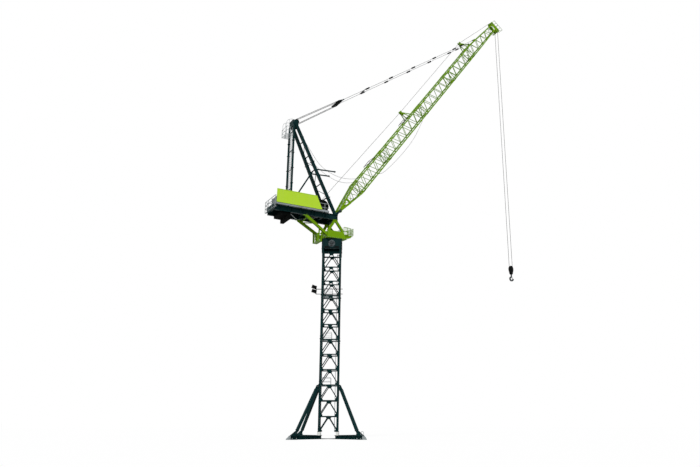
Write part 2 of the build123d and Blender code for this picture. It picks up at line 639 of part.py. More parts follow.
# Slewing platform, turret legs and access platforms
def turret():
    lean = degrees(atan2((SLEW_BASE - SLEW_TOP) / 2, SLEW_HEIGHT))
    body = extrude(Plane.XY.offset(SLEW_Z) * Rectangle(SLEW_BASE, SLEW_BASE), amount=SLEW_HEIGHT, taper=lean)
    nodes["slewing_platform"] = body
    gap = block((-SLEW_BASE, SLEW_BASE), (-SLEW_BASE, SLEW_BASE), (SLEW_TOP_Z, DECK_BOTTOM))
    legs = []
    for name, side in SIDES:
        apex = (TURRET_APEX_X, side * GIRDER_Y, DECK_BOTTOM + TURRET_LEG)
        pair = []
        for foot_x in (TURRET_FRONT_X, TURRET_REAR_X):
            foot = (foot_x, side * TURRET_FOOT_Y, SLEW_TOP_Z - TURRET_LEG)
            pair.append(bar(foot, apex, TURRET_LEG, TURRET_LEG) & gap)
        legs.append(fused(pair))
    nodes["turret_front_legs"] = Compound(legs)

    below_deck = block((PROP_TOP_X - SLEW_BASE, 0), (-SLEW_BASE, SLEW_BASE), (SLEW_Z, DECK_BOTTOM))
    foot_z = SLEW_TOP_Z - PROP_FOOT_DROP
    props = []
    ends = []
    for name, side in SIDES:
        foot = Vector(PROP_FOOT_X, side * PROP_FOOT_Y, foot_z)
        top = Vector(PROP_TOP_X, side * GIRDER_Y, DECK_BOTTOM)
        run = top - foot
        ends.append((foot, run))
        props.append(bar(foot, top + run.normalized() * PROP_SIZE, PROP_SIZE, PROP_SIZE))
    for near_share, far_share in PROP_TIE_SHARES:
        props.append(bar(ends[0][0] + ends[0][1] * near_share, ends[1][0] + ends[1][1] * far_share,
                         PROP_BRACE, PROP_BRACE))
    rear = (fused(props) & below_deck) - body
    nodes["turret_rear_props"] = rear

    floor_z = SLEW_TOP_Z - NOSE_FLOOR_DROP
    arc_centre = NOSE_REACH - NOSE_WIDTH / 2
    half_width = NOSE_WIDTH / 2
    nose = [block((NOSE_START, arc_centre), (-half_width, half_width), (floor_z - NOSE_PLATE, floor_z))]
    level = Plane.XY.offset(floor_z - NOSE_PLATE / 2)
    nose.append(prism(level, (arc_centre, 0), half_width, 12, NOSE_PLATE))
    bracket = [
        (NOSE_START, floor_z), (arc_centre, floor_z),
        (NOSE_START, floor_z - NOSE_PLATE - NOSE_BRACKET_DEPTH),
    ]
    for y in (-NOSE_WIDTH / 4, NOSE_WIDTH / 4):
        nose.append(plate(upright(y), bracket, NOSE_BRACKET))
    rail_radius = NOSE_WIDTH / 2 - RAIL
    ring_points = [(SLEW_BASE / 2, -rail_radius)]
    for step in range(-3, 4):
        turn = radians(30 * step)
        ring_points.append((arc_centre + rail_radius * cos(turn), rail_radius * sin(turn)))
    ring_points.append((SLEW_BASE / 2, rail_radius))
    for share in RAIL_SHARES:
        level = Plane.XY.offset(floor_z + RAIL_HEIGHT * share - RAIL / 2)
        nose.append(plate(level, band(ring_points, RAIL), RAIL))
    for x, y in ring_points[1:-1:2]:
        nose.append(block((x - RAIL / 2, x + RAIL / 2), (y - RAIL / 2, y + RAIL / 2),
                          (floor_z, floor_z + RAIL_HEIGHT)))
    nodes["front_platform"] = fused(nose) - body

    landing = [block((LANDING_X, LANDING_X + LANDING_LENGTH), (-LANDING_WIDTH / 2, LANDING_WIDTH / 2),
                     (LANDING_Z - LANDING_PLATE, LANDING_Z))]
    for x in (LANDING_X + LANDING_POST / 2, LANDING_X + LANDING_LENGTH - LANDING_POST / 2):
        for side in (-1, 1):
            y = side * (LANDING_WIDTH / 2 - LANDING_POST / 2)
            post = Pos(x, y, LANDING_Z + RAIL_HEIGHT / 2)
            landing.append(post * Box(LANDING_POST, LANDING_POST, RAIL_HEIGHT))
    for side in (-1, 1):
        y = side * (LANDING_WIDTH / 2 - LANDING_POST / 2)
        landing.append(block((LANDING_X, -SLEW_BASE / 4), (y - LANDING_POST / 2, y + LANDING_POST / 2),
                             (LANDING_Z + RAIL_HEIGHT - LANDING_POST, LANDING_Z + RAIL_HEIGHT)))
    nodes["rear_landing"] = fused(landing) - body


# Deck
def deck():
    girders = Compound([
        i_beam(GIRDER_REAR, GIRDER_FRONT, side * GIRDER_Y, DECK_BOTTOM,
               GIRDER_WIDTH, GIRDER_HEIGHT, GIRDER_FLANGE, GIRDER_WEB)
        for name, side in SIDES
    ])
    nodes["deck_girders"] = girders
    floor_bottom = DECK_TOP - DECK_PLATE
    beams = []
    for x in (AFRAME_FOOT_X - CROSS_BEAM, HOIST_X, PROP_TOP_X, REAR_LEG_X, GIRDER_REAR + CROSS_BEAM / 2):
        cross = block((x - CROSS_BEAM / 2, x + CROSS_BEAM / 2), (-GIRDER_Y, GIRDER_Y),
                      (floor_bottom - CROSS_BEAM_HEIGHT, floor_bottom))
        beams.append(cross - girders)
    front = block((GIRDER_FRONT - FRONT_BEAM_LENGTH, GIRDER_FRONT), (-GIRDER_Y, GIRDER_Y),
                  (DECK_BOTTOM, DECK_TOP))
    beams.append(front - girders)
    nodes["deck_cross_beams"] = Compound(beams)
    nodes["deck_floor"] = block((GIRDER_REAR, DECK_FLOOR_FRONT), (-GIRDER_INNER, GIRDER_INNER),
                                (floor_bottom, DECK_TOP))

    walkways, railings = [], []
    posts = int((WALKWAY_FRONT - GIRDER_REAR) / POST_PITCH) + 1
    for name, side in SIDES:
        inner, outer = side * GIRDER_OUTER, side * WALKWAY_OUTER
        pieces = [block((GIRDER_REAR, WALKWAY_FRONT), sorted((inner, outer)), (floor_bottom, DECK_TOP))]
        rail_y = side * (WALKWAY_OUTER - RAIL / 2)
        rails = []
        for k in range(posts):
            x = GIRDER_REAR + RAIL + k * POST_PITCH
            hanger_y = side * (GIRDER_OUTER + WALKWAY_BRACKET / 2)
            pieces.append(block((x - RAIL / 2, x + RAIL / 2), sorted((inner, inner + side * WALKWAY_BRACKET)),
                                (DECK_BOTTOM, DECK_TOP)))
            pieces.append(bar((x, hanger_y, DECK_TOP - WALKWAY_WIDTH), (x, rail_y, DECK_TOP - DECK_PLATE / 2),
                              WALKWAY_BRACKET, WALKWAY_BRACKET))
            rails.append(block((x - RAIL / 2, x + RAIL / 2), sorted((outer, outer - side * RAIL)),
                               (DECK_TOP, DECK_TOP + POST_HEIGHT)))
        for share in RAIL_SHARES:
            rail_z = DECK_TOP + POST_HEIGHT * share
            rails.append(block((GIRDER_REAR, WALKWAY_FRONT), sorted((outer, outer - side * RAIL)),
                               (rail_z - RAIL, rail_z)))
        clear = block((GIRDER_REAR, WALKWAY_FRONT), sorted((inner, outer)), (DECK_BOTTOM, DECK_TOP))
        walkways.append(fused(pieces) & clear)
        railings.append(fused(rails))
    nodes["walkways"] = Compound(walkways)
    nodes["deck_railings"] = Compound(railings)

    balcony_z = DECK_TOP - BALCONY_DROP
    rear = GIRDER_REAR - BALCONY_REACH
    wide = (-WALKWAY_OUTER, WALKWAY_OUTER)
    pieces = [block((rear, GIRDER_REAR), wide, (balcony_z - DECK_PLATE, balcony_z))]
    rail_top = DECK_TOP + POST_HEIGHT
    post_y = [RAIL / 2 - WALKWAY_OUTER, WALKWAY_OUTER - RAIL / 2]
    post_y += [share * WALKWAY_OUTER for share in BALCONY_POST_SHARES]
    for y in post_y:
        pieces.append(block((rear, rear + RAIL), (y - RAIL / 2, y + RAIL / 2), (balcony_z, rail_top)))
    for share in BALCONY_RAIL_SHARES:
        rail_z = balcony_z + (rail_top - balcony_z) * share
        pieces.append(block((rear, rear + RAIL), wide, (rail_z - RAIL, rail_z)))
        for side in (-1, 1):
            side_y = sorted((side * WALKWAY_OUTER, side * (WALKWAY_OUTER - RAIL)))
            pieces.append(block((rear, GIRDER_REAR), side_y, (rail_z - RAIL, rail_z)))
    nodes["rear_balcony"] = fused(pieces)

    low = DECK_TOP + PANEL_RISE
    outline = [
        (PANEL_REAR, low), (PANEL_FRONT, low),
        (PANEL_FRONT - PANEL_RAKE, low + PANEL_HEIGHT_SIDE), (PANEL_REAR, low + PANEL_HEIGHT_SIDE),
    ]
    nodes["side_panel"] = plate(upright(-WALKWAY_OUTER - PANEL_PLATE / 2), outline, PANEL_PLATE)

    slabs = []
    for k in range(SLABS_SHORT + SLABS_LONG):
        start = SLAB_REAR + k * (SLAB_THICK + SLAB_GAP)
        drop = SLAB_SHORT if k < SLABS_SHORT else SLAB_LONG
        slabs.append(block((start, start + SLAB_THICK), (-SLAB_WIDTH / 2, SLAB_WIDTH / 2),
                           (DECK_BOTTOM - drop, DECK_BOTTOM)))
    nodes["counterweights"] = Compound(slabs)


def winch(x):
    """A drum between two side frames, with its motor outside one of them."""
    axis_z = DECK_TOP + WINCH_AXIS_RISE
    side_y = DRUM_WIDTH / 2 + WINCH_FRAME / 2
    pieces = [disc(upright(0), (x, axis_z), DRUM_RADIUS, DRUM_WIDTH)]
    for side in (-1, 1):
        flange_y = side * (DRUM_WIDTH / 2 - DRUM_FLANGE_PLATE - WINCH_SIDE_GAP)
        pieces.append(prism(upright(flange_y), (x, axis_z), DRUM_FLANGE, 16, DRUM_FLANGE_PLATE))
        frame = [
            (x - WINCH_FOOT / 2, DECK_TOP), (x + WINCH_FOOT / 2, DECK_TOP),
            (x + WINCH_CROWN / 2, axis_z + WINCH_CROWN / 2), (x - WINCH_CROWN / 2, axis_z + WINCH_CROWN / 2),
        ]
        pieces.append(plate(upright(side * side_y), frame, WINCH_FRAME))
    pieces.append(prism(upright(side_y + WINCH_FRAME / 2), (x, axis_z), MOTOR_RADIUS, 12, MOTOR_LENGTH))
    return fused(pieces)


def pivot_brackets():
    """Two cheeks each side of a jib foot eye, carrying its pin."""
    eye_y = JIB_WIDTH / 2
    brackets = []
    for name, side in SIDES:
        pieces = []
        for offset in (-1, 1):
            y = side * eye_y + offset * (JIB_CHORD / 2 + CHEEK_GAP + CHEEK / 2)
            cheek = [
                (GIRDER_FRONT - FRONT_BEAM_LENGTH, DECK_TOP), (GIRDER_FRONT, DECK_TOP),
                (PIVOT_X + CHEEK_RADIUS, PIVOT_Z), (PIVOT_X - CHEEK_RADIUS, PIVOT_Z),
            ]
            pieces.append(plate(upright(y), cheek, CHEEK))
            pieces.append(disc(upright(y), (PIVOT_X, PIVOT_Z), CHEEK_RADIUS, CHEEK))
        reach = JIB_CHORD + 2 * CHEEK_GAP + 2 * CHEEK
        pieces.append(disc(upright(side * eye_y), (PIVOT_X, PIVOT_Z), PIN_RADIUS, reach))
        brackets.append(fused(pieces))
    nodes["jib_pivot_brackets"] = Compound(brackets)


# A-frame
def aframe_head():
    """The head block with its rope sheaves, and the yoke that the rear legs stand under."""
    low = HEAD_Z - HEAD_HEIGHT / 2
    rear = HEAD_X - HEAD_LENGTH / 2
    yoke_y = REAR_LEG_Y + REAR_LEG / 2
    pieces = [
        Pos(HEAD_X, 0, HEAD_Z) * Box(HEAD_LENGTH, HEAD_WIDTH, HEAD_HEIGHT),
        block((rear, rear + REAR_LEG), (-yoke_y, yoke_y), (low, low + HEAD_YOKE)),
    ]
    for side in (-1, 1):
        centre = (HEAD_X + HEAD_LENGTH / 2 - HEAD_SHEAVE / 2, HEAD_Z + HEAD_HEIGHT / 2 - HEAD_SHEAVE / 4)
        pieces.append(disc(upright(side * HEAD_SHEAVE_Y), centre, HEAD_SHEAVE, HEAD_SHEAVE_WIDTH))
    return fused(pieces)


def on_leg(side, z):
    """The middle of a front leg at a height."""
    foot = Vector(AFRAME_FOOT_X, side * AFRAME_FOOT_Y, DECK_TOP)
    top = Vector(HEAD_X, side * HEAD_LEG_Y, HEAD_Z)
    return foot + (top - foot) * ((z - DECK_TOP) / (HEAD_Z - DECK_TOP))


def on_rear_leg(z):
    """X of the rear legs at a height; they lean a little towards the yoke."""
    low = HEAD_Z - HEAD_HEIGHT / 2
    top_x = HEAD_X - HEAD_LENGTH / 2 + REAR_LEG / 2
    return REAR_LEG_X + (top_x - REAR_LEG_X) * (z - DECK_TOP) / (low - DECK_TOP)


def aframe():
    head = aframe_head()
    nodes["aframe_head"] = head
    above_deck = block((GIRDER_REAR, -GIRDER_REAR), (-SLEW_BASE, SLEW_BASE), (DECK_TOP, HEAD_Z + HEAD_HEIGHT))
    legs = []
    for name, side in SIDES:
        along = (on_leg(side, HEAD_Z) - on_leg(side, DECK_TOP)).normalized()
        leg = bar(on_leg(side, DECK_TOP) - along * AFRAME_LEG, on_leg(side, HEAD_Z), AFRAME_LEG, AFRAME_LEG)
        legs.append((leg & above_deck) - head)
    both = Compound(legs)
    clamps = [clamp(route[0], route[1]) for route in CABLE_ROUTES]
    nodes["aframe_front_legs"] = Compound([fused([legs[0]] + clamps), legs[1]])

    ties = []
    for k in range(FRONT_TIES):
        z = HEAD_Z - FRONT_TIE_DROP - k * FRONT_TIE_PITCH
        ties.append(bar(on_leg(-1, z), on_leg(1, z), FRONT_TIE, FRONT_TIE) - both)
        if k:
            way = 1 if k % 2 else -1
            start = on_leg(way, z + FRONT_TIE_INSET)
            end = on_leg(-way, z + FRONT_TIE_PITCH - FRONT_TIE_INSET)
            ties.append(bar(start, end, FRONT_TIE_THIN, FRONT_TIE_THIN) - both)
    nodes["aframe_front_ties"] = Compound(ties)

    brace_z = HEAD_Z - FRONT_TIE_DROP - BRACE_TIE * FRONT_TIE_PITCH
    top = Vector(on_leg(1, brace_z).X, 0, brace_z)
    foot = Vector(BRACE_FOOT_X, 0, DECK_TOP)
    along = (top - foot).normalized()
    brace = bar(foot - along * BRACE_SIZE, top, BRACE_SIZE, BRACE_SIZE) & above_deck
    nodes["aframe_brace"] = brace - nodes["aframe_front_ties"]

    rear_top = HEAD_Z - HEAD_HEIGHT / 2
    rear_pieces = []
    for side in (-1, 1):
        foot = Vector(REAR_LEG_X, side * REAR_LEG_Y, DECK_TOP)
        top = Vector(on_rear_leg(rear_top), side * REAR_LEG_Y, rear_top)
        along = (top - foot).normalized() * REAR_LEG
        rear_pieces.append(bar(foot - along, top + along, REAR_LEG, REAR_LEG))
    for k in range(1, int((rear_top - DECK_TOP) / REAR_TIE_PITCH) + 1):
        z = DECK_TOP + k * REAR_TIE_PITCH
        x = on_rear_leg(z)
        rear_pieces.append(bar((x, -REAR_LEG_Y, z), (x, REAR_LEG_Y, z), REAR_TIE, REAR_TIE))
    below_yoke = block((GIRDER_REAR, -GIRDER_REAR), (-SLEW_BASE, SLEW_BASE), (DECK_TOP, rear_top))
    nodes["aframe_rear_frame"] = fused(rear_pieces) & below_yoke

    stops = []
    for side in (-1, 1):
        root = on_leg(side, BACKSTOP_Z)
        tip = (BACKSTOP_TIP_X, root.Y, BACKSTOP_Z + BACKSTOP_RISE)
        stops.append(bar(root, tip, BACKSTOP_SIZE, BACKSTOP_SIZE) - both)
    nodes["backstops"] = Compound(stops)

    leg_x = on_rear_leg(CROW_FLOOR_Z)
    rear = leg_x - CROW_REACH
    wide = (-CROW_WIDTH / 2, CROW_WIDTH / 2)
    crow = [block((rear, leg_x), wide, (CROW_FLOOR_Z - CROW_PLATE, CROW_FLOOR_Z))]
    for y in (RAIL / 2 - CROW_WIDTH / 2, CROW_WIDTH / 2 - RAIL / 2):
        for x in (rear + RAIL / 2, rear + CROW_REACH / 2):
            crow.append(block((x - RAIL / 2, x + RAIL / 2), (y - RAIL / 2, y + RAIL / 2),
                              (CROW_FLOOR_Z, CROW_FLOOR_Z + RAIL_HEIGHT)))
        for share in RAIL_SHARES:
            rail_z = CROW_FLOOR_Z + RAIL_HEIGHT * share
            crow.append(block((rear, rear + CROW_REACH / 2 + RAIL), (y - RAIL / 2, y + RAIL / 2),
                              (rail_z - RAIL, rail_z)))
    for share in RAIL_SHARES:
        rail_z = CROW_FLOOR_Z + RAIL_HEIGHT * share
        crow.append(block((rear, rear + RAIL), wide, (rail_z - RAIL, rail_z)))
    nodes["aframe_platform"] = fused(crow) - nodes["aframe_rear_frame"]


# Jib
def lacing_line(start, end, low, high, pitch):
    """Points of a W between two edges; low and high give the edge at a place along it."""
    halves = max(2, 2 * round((end - start) / pitch))
    points = []
    for k in range(halves + 1):
        u = start + (end - start) * k / halves
        points.append((u, low(u) if k % 2 else high(u)))
    return points


def edge(points):
    """The edge's place at u along a line of points."""
    def at(u):
        for (au, aw), (bu, bw) in zip(points, points[1:]):
            if u <= bu:
                return aw + (bw - aw) * (u - au) / (bu - au)
        return points[-1][1]
    return at


TOP_LINE = [
    (JIB_FOOT_U, JIB_FOOT_W), (JIB_ROOT_U, JIB_DEPTH / 2),
    (JIB_KINK_U, JIB_DEPTH / 2), (JIB_END_U, JIB_END_TOP_W),
]
LOW_LINE = [(JIB_FOOT_U, -JIB_FOOT_W), (JIB_LOW_ROOT_U, -JIB_DEPTH / 2), (JIB_END_U, -JIB_DEPTH / 2)]
top_w, low_w = edge(TOP_LINE), edge(LOW_LINE)
plan_half = edge([(JIB_FOOT_U, JIB_WIDTH / 2), (JIB_PLAN_U, JIB_WIDTH / 2), (JIB_END_U, TIP_HALF_WIDTH)])


def head_plane(side):
    """The plane of a side's head stretch, which leans in from the plan kink to the tip."""
    x, z = jib_point(JIB_PLAN_U, 0)
    end_x, end_z = jib_point(JIB_END_U, 0)
    run = Vector(end_x - x, side * (TIP_HALF_WIDTH - JIB_WIDTH / 2), end_z - z)
    return Plane(origin=(x, side * JIB_WIDTH / 2, z), x_dir=run, z_dir=run.cross(JIB_PLANE.y_dir))


def jib_side(side):
    """One lattice side: chords, web, foot eye and pendant lug, with the head stretch leaning in."""
    plane = jib_side_plane(side * JIB_WIDTH / 2)
    main_top = [point for point in TOP_LINE if point[0] < JIB_PLAN_U] + [(JIB_PLAN_U, top_w(JIB_PLAN_U))]
    main_low = [point for point in LOW_LINE if point[0] < JIB_PLAN_U] + [(JIB_PLAN_U, low_w(JIB_PLAN_U))]
    web = lacing_line(JIB_WEB_START, JIB_PLAN_U, low_w, top_w, JIB_LACING_PITCH)
    frame = [(JIB_FRAME_U, low_w(JIB_FRAME_U)), (JIB_FRAME_U, top_w(JIB_FRAME_U))]
    pieces = [
        plate(plane, band(main_top, JIB_CHORD), JIB_CHORD),
        plate(plane, band(main_low, JIB_CHORD), JIB_CHORD),
        plate(plane, band(web, JIB_LACING), JIB_LACING),
        plate(plane, band(frame, JIB_FRAME), JIB_FRAME),
        disc(plane, (0, 0), EYE_RADIUS, JIB_CHORD),
    ]

    lean = head_plane(side)
    stretch = hypot(JIB_END_U - JIB_PLAN_U, JIB_WIDTH / 2 - TIP_HALF_WIDTH) / (JIB_END_U - JIB_PLAN_U)
    length = (JIB_END_U - JIB_PLAN_U) * stretch

    def head_edge(line):
        return lambda s: line(JIB_PLAN_U + s / stretch)

    head_top, head_low = head_edge(top_w), head_edge(low_w)
    overrun = JIB_CHORD / 4
    for line in (head_top, head_low):
        slope = (line(length) - line(0)) / length
        chord = [(-overrun, line(0) - slope * overrun), (length + overrun, line(length) + slope * overrun)]
        pieces.append(plate(lean, band(chord, JIB_CHORD), JIB_CHORD))
    web = lacing_line(0, length, head_low, head_top, JIB_LACING_PITCH)
    pieces.append(plate(lean, band(web, JIB_LACING), JIB_LACING))

    rise = top_w(LUG_U)
    lug = [
        (LUG_U - LUG_LENGTH / 2, rise), (LUG_U + LUG_LENGTH / 2, rise),
        (LUG_U + LUG_LENGTH / 4, rise + LUG_RISE), (LUG_U - LUG_LENGTH / 4, rise + LUG_RISE),
    ]
    pieces.append(plate(plane, lug, LUG_PLATE))
    if side < 0:
        pieces += [clamp(route[-1], route[-2]) for route in CABLE_ROUTES]
        slack = slack_points()
        pieces += [clamp(slack[0], slack[1]), clamp(slack[-1], slack[-2])]
    outline = [
        (-2 * EYE_RADIUS, -JIB_DEPTH), (JIB_END_U, -JIB_DEPTH),
        (JIB_END_U, JIB_DEPTH), (-2 * EYE_RADIUS, JIB_DEPTH),
    ]
    short_of_tip = plate(jib_side_plane(0), outline, 2 * JIB_WIDTH)
    bore = disc(plane, (0, 0), PIN_RADIUS + PIN_CLEARANCE, 2 * JIB_CHORD)
    return (fused(pieces) & short_of_tip) - bore


def jib_lacing(line):
    """The lacing of the upper or lower face: a flat W in each straight stretch, short of the kinks."""
    strips = []
    for (au, aw), (bu, bw) in zip(line, line[1:]):
        ax, az = jib_point(au, aw)
        bx, bz = jib_point(bu, bw)
        along = Vector(bx - ax, 0, bz - az)
        plane = Plane(origin=(ax, 0, az), x_dir=along, z_dir=along.cross(Vector(0, 1, 0)))
        stretch = along.length / (bu - au)

        def half(s):
            return plan_half(au + s / stretch) - JIB_CHORD / 2

        start = (max(au, JIB_WEB_START) - au) * stretch + JIB_LACING
        zigzag = lacing_line(start, along.length - JIB_LACING, lambda s: -half(s), half, JIB_LACING_PITCH)
        strips.append(plate(plane, band(zigzag, JIB_LACING), JIB_LACING))
    return strips


def rope_post(u):
    """A post of four legs from the upper chords to a narrow head with a rope roller."""
    rise = JIB_DEPTH / 2 + JIB_CHORD / 2
    centre = (u - POST_LEAN, rise + ROPE_POST_RISE - ROLLER_RADIUS)
    head_x, head_z = jib_point(*centre)
    pieces = [disc(jib_side_plane(0), centre, ROLLER_RADIUS, POST_HEAD)]
    for side in (-1, 1):
        pieces.append(prism(jib_side_plane(side * POST_HEAD / 2), centre, ROPE_POST, 8, POST_CHEEK))
        for foot_u in (u, u + POST_STAY):
            x, z = jib_point(foot_u, JIB_DEPTH / 2)
            pieces.append(bar((x, side * JIB_WIDTH / 2, z), (head_x, side * POST_HEAD / 2, head_z),
                              ROPE_POST, ROPE_POST))
    above = Plane(origin=jib_point_at(u, rise), x_dir=JIB_PLANE.x_dir, z_dir=JIB_PLANE.y_dir)
    room = above * Box(4 * ROPE_POST_RISE, 2 * JIB_WIDTH, 2 * ROPE_POST_RISE,
                       align=(Align.CENTER, Align.CENTER, Align.MIN))
    return fused(pieces) & room


def jib():
    for name, side in SIDES:
        nodes[f"jib_side_{name}"] = jib_side(side)
    sides = Compound([nodes["jib_side_right"], nodes["jib_side_left"]])
    for name, line in (("top", TOP_LINE), ("bottom", LOW_LINE)):
        nodes[f"jib_{name}_lacing"] = Compound([strip - sides for strip in jib_lacing(line)])

    outline = [
        (JIB_END_U, TIP_LOW_W), (TIP_U + TIP_LENGTH / 2, TIP_LOW_W),
        (TIP_U + TIP_LENGTH / 2, TIP_TOP_W), (JIB_END_U, TIP_TOP_W),
    ]
    head = [plate(jib_side_plane(side * TIP_HALF_WIDTH), outline, TIP_PLATE) for side in (-1, 1)]
    centre = jib_side_plane(0)
    for w in (TIP_LOW_W + TIP_SHEAVE, TIP_TOP_W - TIP_SHEAVE):
        head.append(disc(centre, (TIP_U, w), TIP_SHEAVE, TIP_SHEAVE_WIDTH))
        head.append(prism(centre, (TIP_U, w), TIP_ARM, 12, 2 * TIP_HALF_WIDTH))
    nodes["jib_head"] = fused(head)
    nodes["rope_posts"] = Compound([rope_post(u) for u in (POST_LOW_U, POST_HIGH_U)])


# Luffing gear and hoist
def luffing_line():
    """Centre of the head sheaves, centre of the luffing block and the jib's pendant lug."""
    sheave = Vector(HEAD_X + HEAD_LENGTH / 2 - HEAD_SHEAVE / 2, 0, HEAD_Z + HEAD_HEIGHT / 2 - HEAD_SHEAVE / 4)
    lug_x, lug_z = jib_point(LUG_U, top_w(LUG_U) + LUG_PIN_RISE)
    lug = Vector(lug_x, 0, lug_z)
    return sheave, sheave + (lug - sheave).normalized() * LUFF_ROPE_LENGTH, lug


def luffing_gear():
    sheave, middle, lug = luffing_line()
    along = (lug - middle).normalized()
    across = Vector(-along.Z, 0, along.X)
    rope_rows = [side * y for y in (LUFF_ROPE_INNER, LUFF_ROPE_OUTER) for side in (-1, 1)]

    def beside(y):
        return Plane(origin=middle + Vector(0, y, 0), x_dir=along, z_dir=(0, -1, 0))

    half, quarter = BLOCK_HEIGHT / 2, BLOCK_HEIGHT / 4
    reach = BLOCK_LENGTH / 2
    outline = [(-reach, -quarter), (0, -half), (reach, -quarter)]
    outline += [(reach, quarter), (0, half), (-reach, quarter)]
    pieces = [plate(beside(side * BLOCK_SIDE_Y), outline, BLOCK_PLATE) for side in (-1, 1)]
    pieces += [disc(beside(y), (0, 0), BLOCK_SHEAVE, ROPE) for y in rope_rows]
    pieces.append(prism(beside(0), (0, 0), BLOCK_PLATE, 12, 2 * BLOCK_SIDE_Y))
    nodes["luffing_block"] = fused(pieces)

    bars = []
    length = (lug - middle).length
    half_link = PENDANT_LINK_LENGTH / 2
    links = max(1, round((length - reach) / PENDANT_PITCH))
    for side in (-1, 1):
        plane = beside(side * PENDANT_Y)
        line = band([(reach - half_link, 0), (length, 0)], PENDANT_BAR)
        pieces = [plate(plane, line, PENDANT_BAR)]
        for k in range(links + 1):
            u = reach + (length - reach - half_link / 2) * k / links
            link = band([(u - half_link, 0), (u + half_link, 0)], PENDANT_LINK_HEIGHT)
            pieces.append(plate(plane, link, PENDANT_LINK_WIDTH))
        bars.append(fused(pieces))
    nodes["pendant_bars"] = Compound(bars)

    falls = []
    for y in rope_rows:
        for way in (-1, 1):
            start = sheave + Vector(0, y, 0) + across * (way * (HEAD_SHEAVE + ROPE_SEAT))
            end = middle + Vector(0, y, 0) + across * (way * (BLOCK_SHEAVE + ROPE_SEAT))
            falls.append(rope(start, end))
    nodes["luffing_ropes"] = Compound(falls)


def hoist_rope():
    rise = JIB_DEPTH / 2 + JIB_CHORD / 2 + ROPE_POST_RISE + ROPE_SEAT
    low = Vector(jib_point_at(POST_LOW_U - POST_LEAN, rise))
    high = Vector(jib_point_at(POST_HIGH_U - POST_LEAN, rise))
    tip = Vector(jib_point_at(TIP_U, TIP_TOP_W + ROPE_SEAT))
    drum = Vector(HOIST_X, 0, DECK_TOP + WINCH_AXIS_RISE)
    lead = (low - drum).normalized()
    up = Vector(-lead.Z, 0, lead.X)
    nodes["hoist_rope_lower"] = rope(drum + up * (DRUM_RADIUS + ROPE_SEAT), low - lead * ROPE)
    nodes["hoist_rope_upper"] = Compound([rope(low, high), rope(high, tip)])


def cord(route):
    """A slack cable of straight runs joined by tangent arcs as large as the runs allow."""
    points = [Vector(point) for point in route]
    radii = []
    for before, corner, after in zip(points, points[1:], points[2:]):
        inward, outward = corner - before, after - corner
        half_turn = radians(inward.get_angle(outward)) / 2
        radii.append(CABLE_ARC_SHARE * min(inward.length, outward.length) / tan(half_turn))
    path = FilletPolyline(*points, radius=radii)
    section = Plane(origin=path @ 0, x_dir=(0, 1, 0), z_dir=path % 0) * RegularPolygon(CABLE / 2, 6)
    return sweep(section, path=path)


def cables():
    nodes["control_cables"] = Compound([cord(route) for route in CABLE_ROUTES])
    nodes["jib_slack_line"] = cord(slack_points())


def hook_gear():
    sheave_x, sheave_z = jib_point(TIP_U, TIP_LOW_W + TIP_SHEAVE)
    middle_z = BLOCK_TOP_Z - HOOK_BLOCK_HEIGHT / 2
    foot = BLOCK_TOP_Z - HOOK_BLOCK_HEIGHT
    falls = []
    for side in (-1, 1):
        x = sheave_x + side * (TIP_SHEAVE + ROPE_SEAT)
        falls.append(rope((x, 0, middle_z), (x, 0, sheave_z)))
    nodes["hoist_falls"] = Compound(falls)

    half, quarter = HOOK_BLOCK_WIDTH / 2, HOOK_BLOCK_WIDTH / 4
    shoulder = BLOCK_TOP_Z - HOOK_BLOCK_HEIGHT / 4
    outline = [
        (sheave_x - half, shoulder), (sheave_x - quarter, BLOCK_TOP_Z),
        (sheave_x + quarter, BLOCK_TOP_Z), (sheave_x + half, shoulder), (sheave_x + half, middle_z),
        (sheave_x + quarter, foot), (sheave_x - quarter, foot), (sheave_x - half, middle_z),
    ]
    pieces = []
    for side in (-1, 1):
        pieces.append(plate(upright(side * (HOOK_BLOCK_DEPTH - HOOK_PLATE) / 2), outline, HOOK_PLATE))
    pieces.append(disc(upright(0), (sheave_x, middle_z), TIP_SHEAVE, HOOK_SHEAVE_WIDTH))
    pieces.append(disc(upright(0), (sheave_x, middle_z), HOOK_PLATE, HOOK_BLOCK_DEPTH))
    sole = Pos(sheave_x, 0, foot + HOOK_PLATE / 2)
    pieces.append(sole * Box(2 * quarter, HOOK_BLOCK_DEPTH, HOOK_PLATE))
    nodes["hook_block"] = fused(pieces)

    neck_top = foot - SWIVEL_GAP
    neck_length = HOOK_NECK + HOOK_OUTER - HOOK_INNER
    eye_z = neck_top - HOOK_NECK - HOOK_OUTER
    ring = disc(upright(0), (sheave_x, eye_z), HOOK_OUTER, HOOK_THICK)
    ring -= disc(upright(0), (sheave_x, eye_z), HOOK_INNER, 2 * HOOK_THICK)
    ring -= block((sheave_x, sheave_x + 2 * HOOK_OUTER), (-HOOK_THICK, HOOK_THICK),
                  (eye_z, eye_z + HOOK_OUTER))
    neck = Pos(sheave_x, 0, neck_top - neck_length / 2) * Cylinder(HOOK_NECK_RADIUS, neck_length)
    nodes["hook"] = fused([ring, neck])


def build():
    base()
    mast()
    slewing_support()
    turret()
    deck()
    nodes["hoist_winch"] = winch(HOIST_X)
    nodes["luffing_winch"] = winch(LUFF_WINCH_X)
    pivot_brackets()
    aframe()
    jib()
    luffing_gear()
    hoist_rope()
    cables()
    hook_gear()


build()
os.makedirs("parts", exist_ok=True)
for name, shape in nodes.items():
    export_step(shape, f"parts/{name}.step")
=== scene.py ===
import json
import math

import bmesh
import bpy
from mathutils import Matrix, Vector


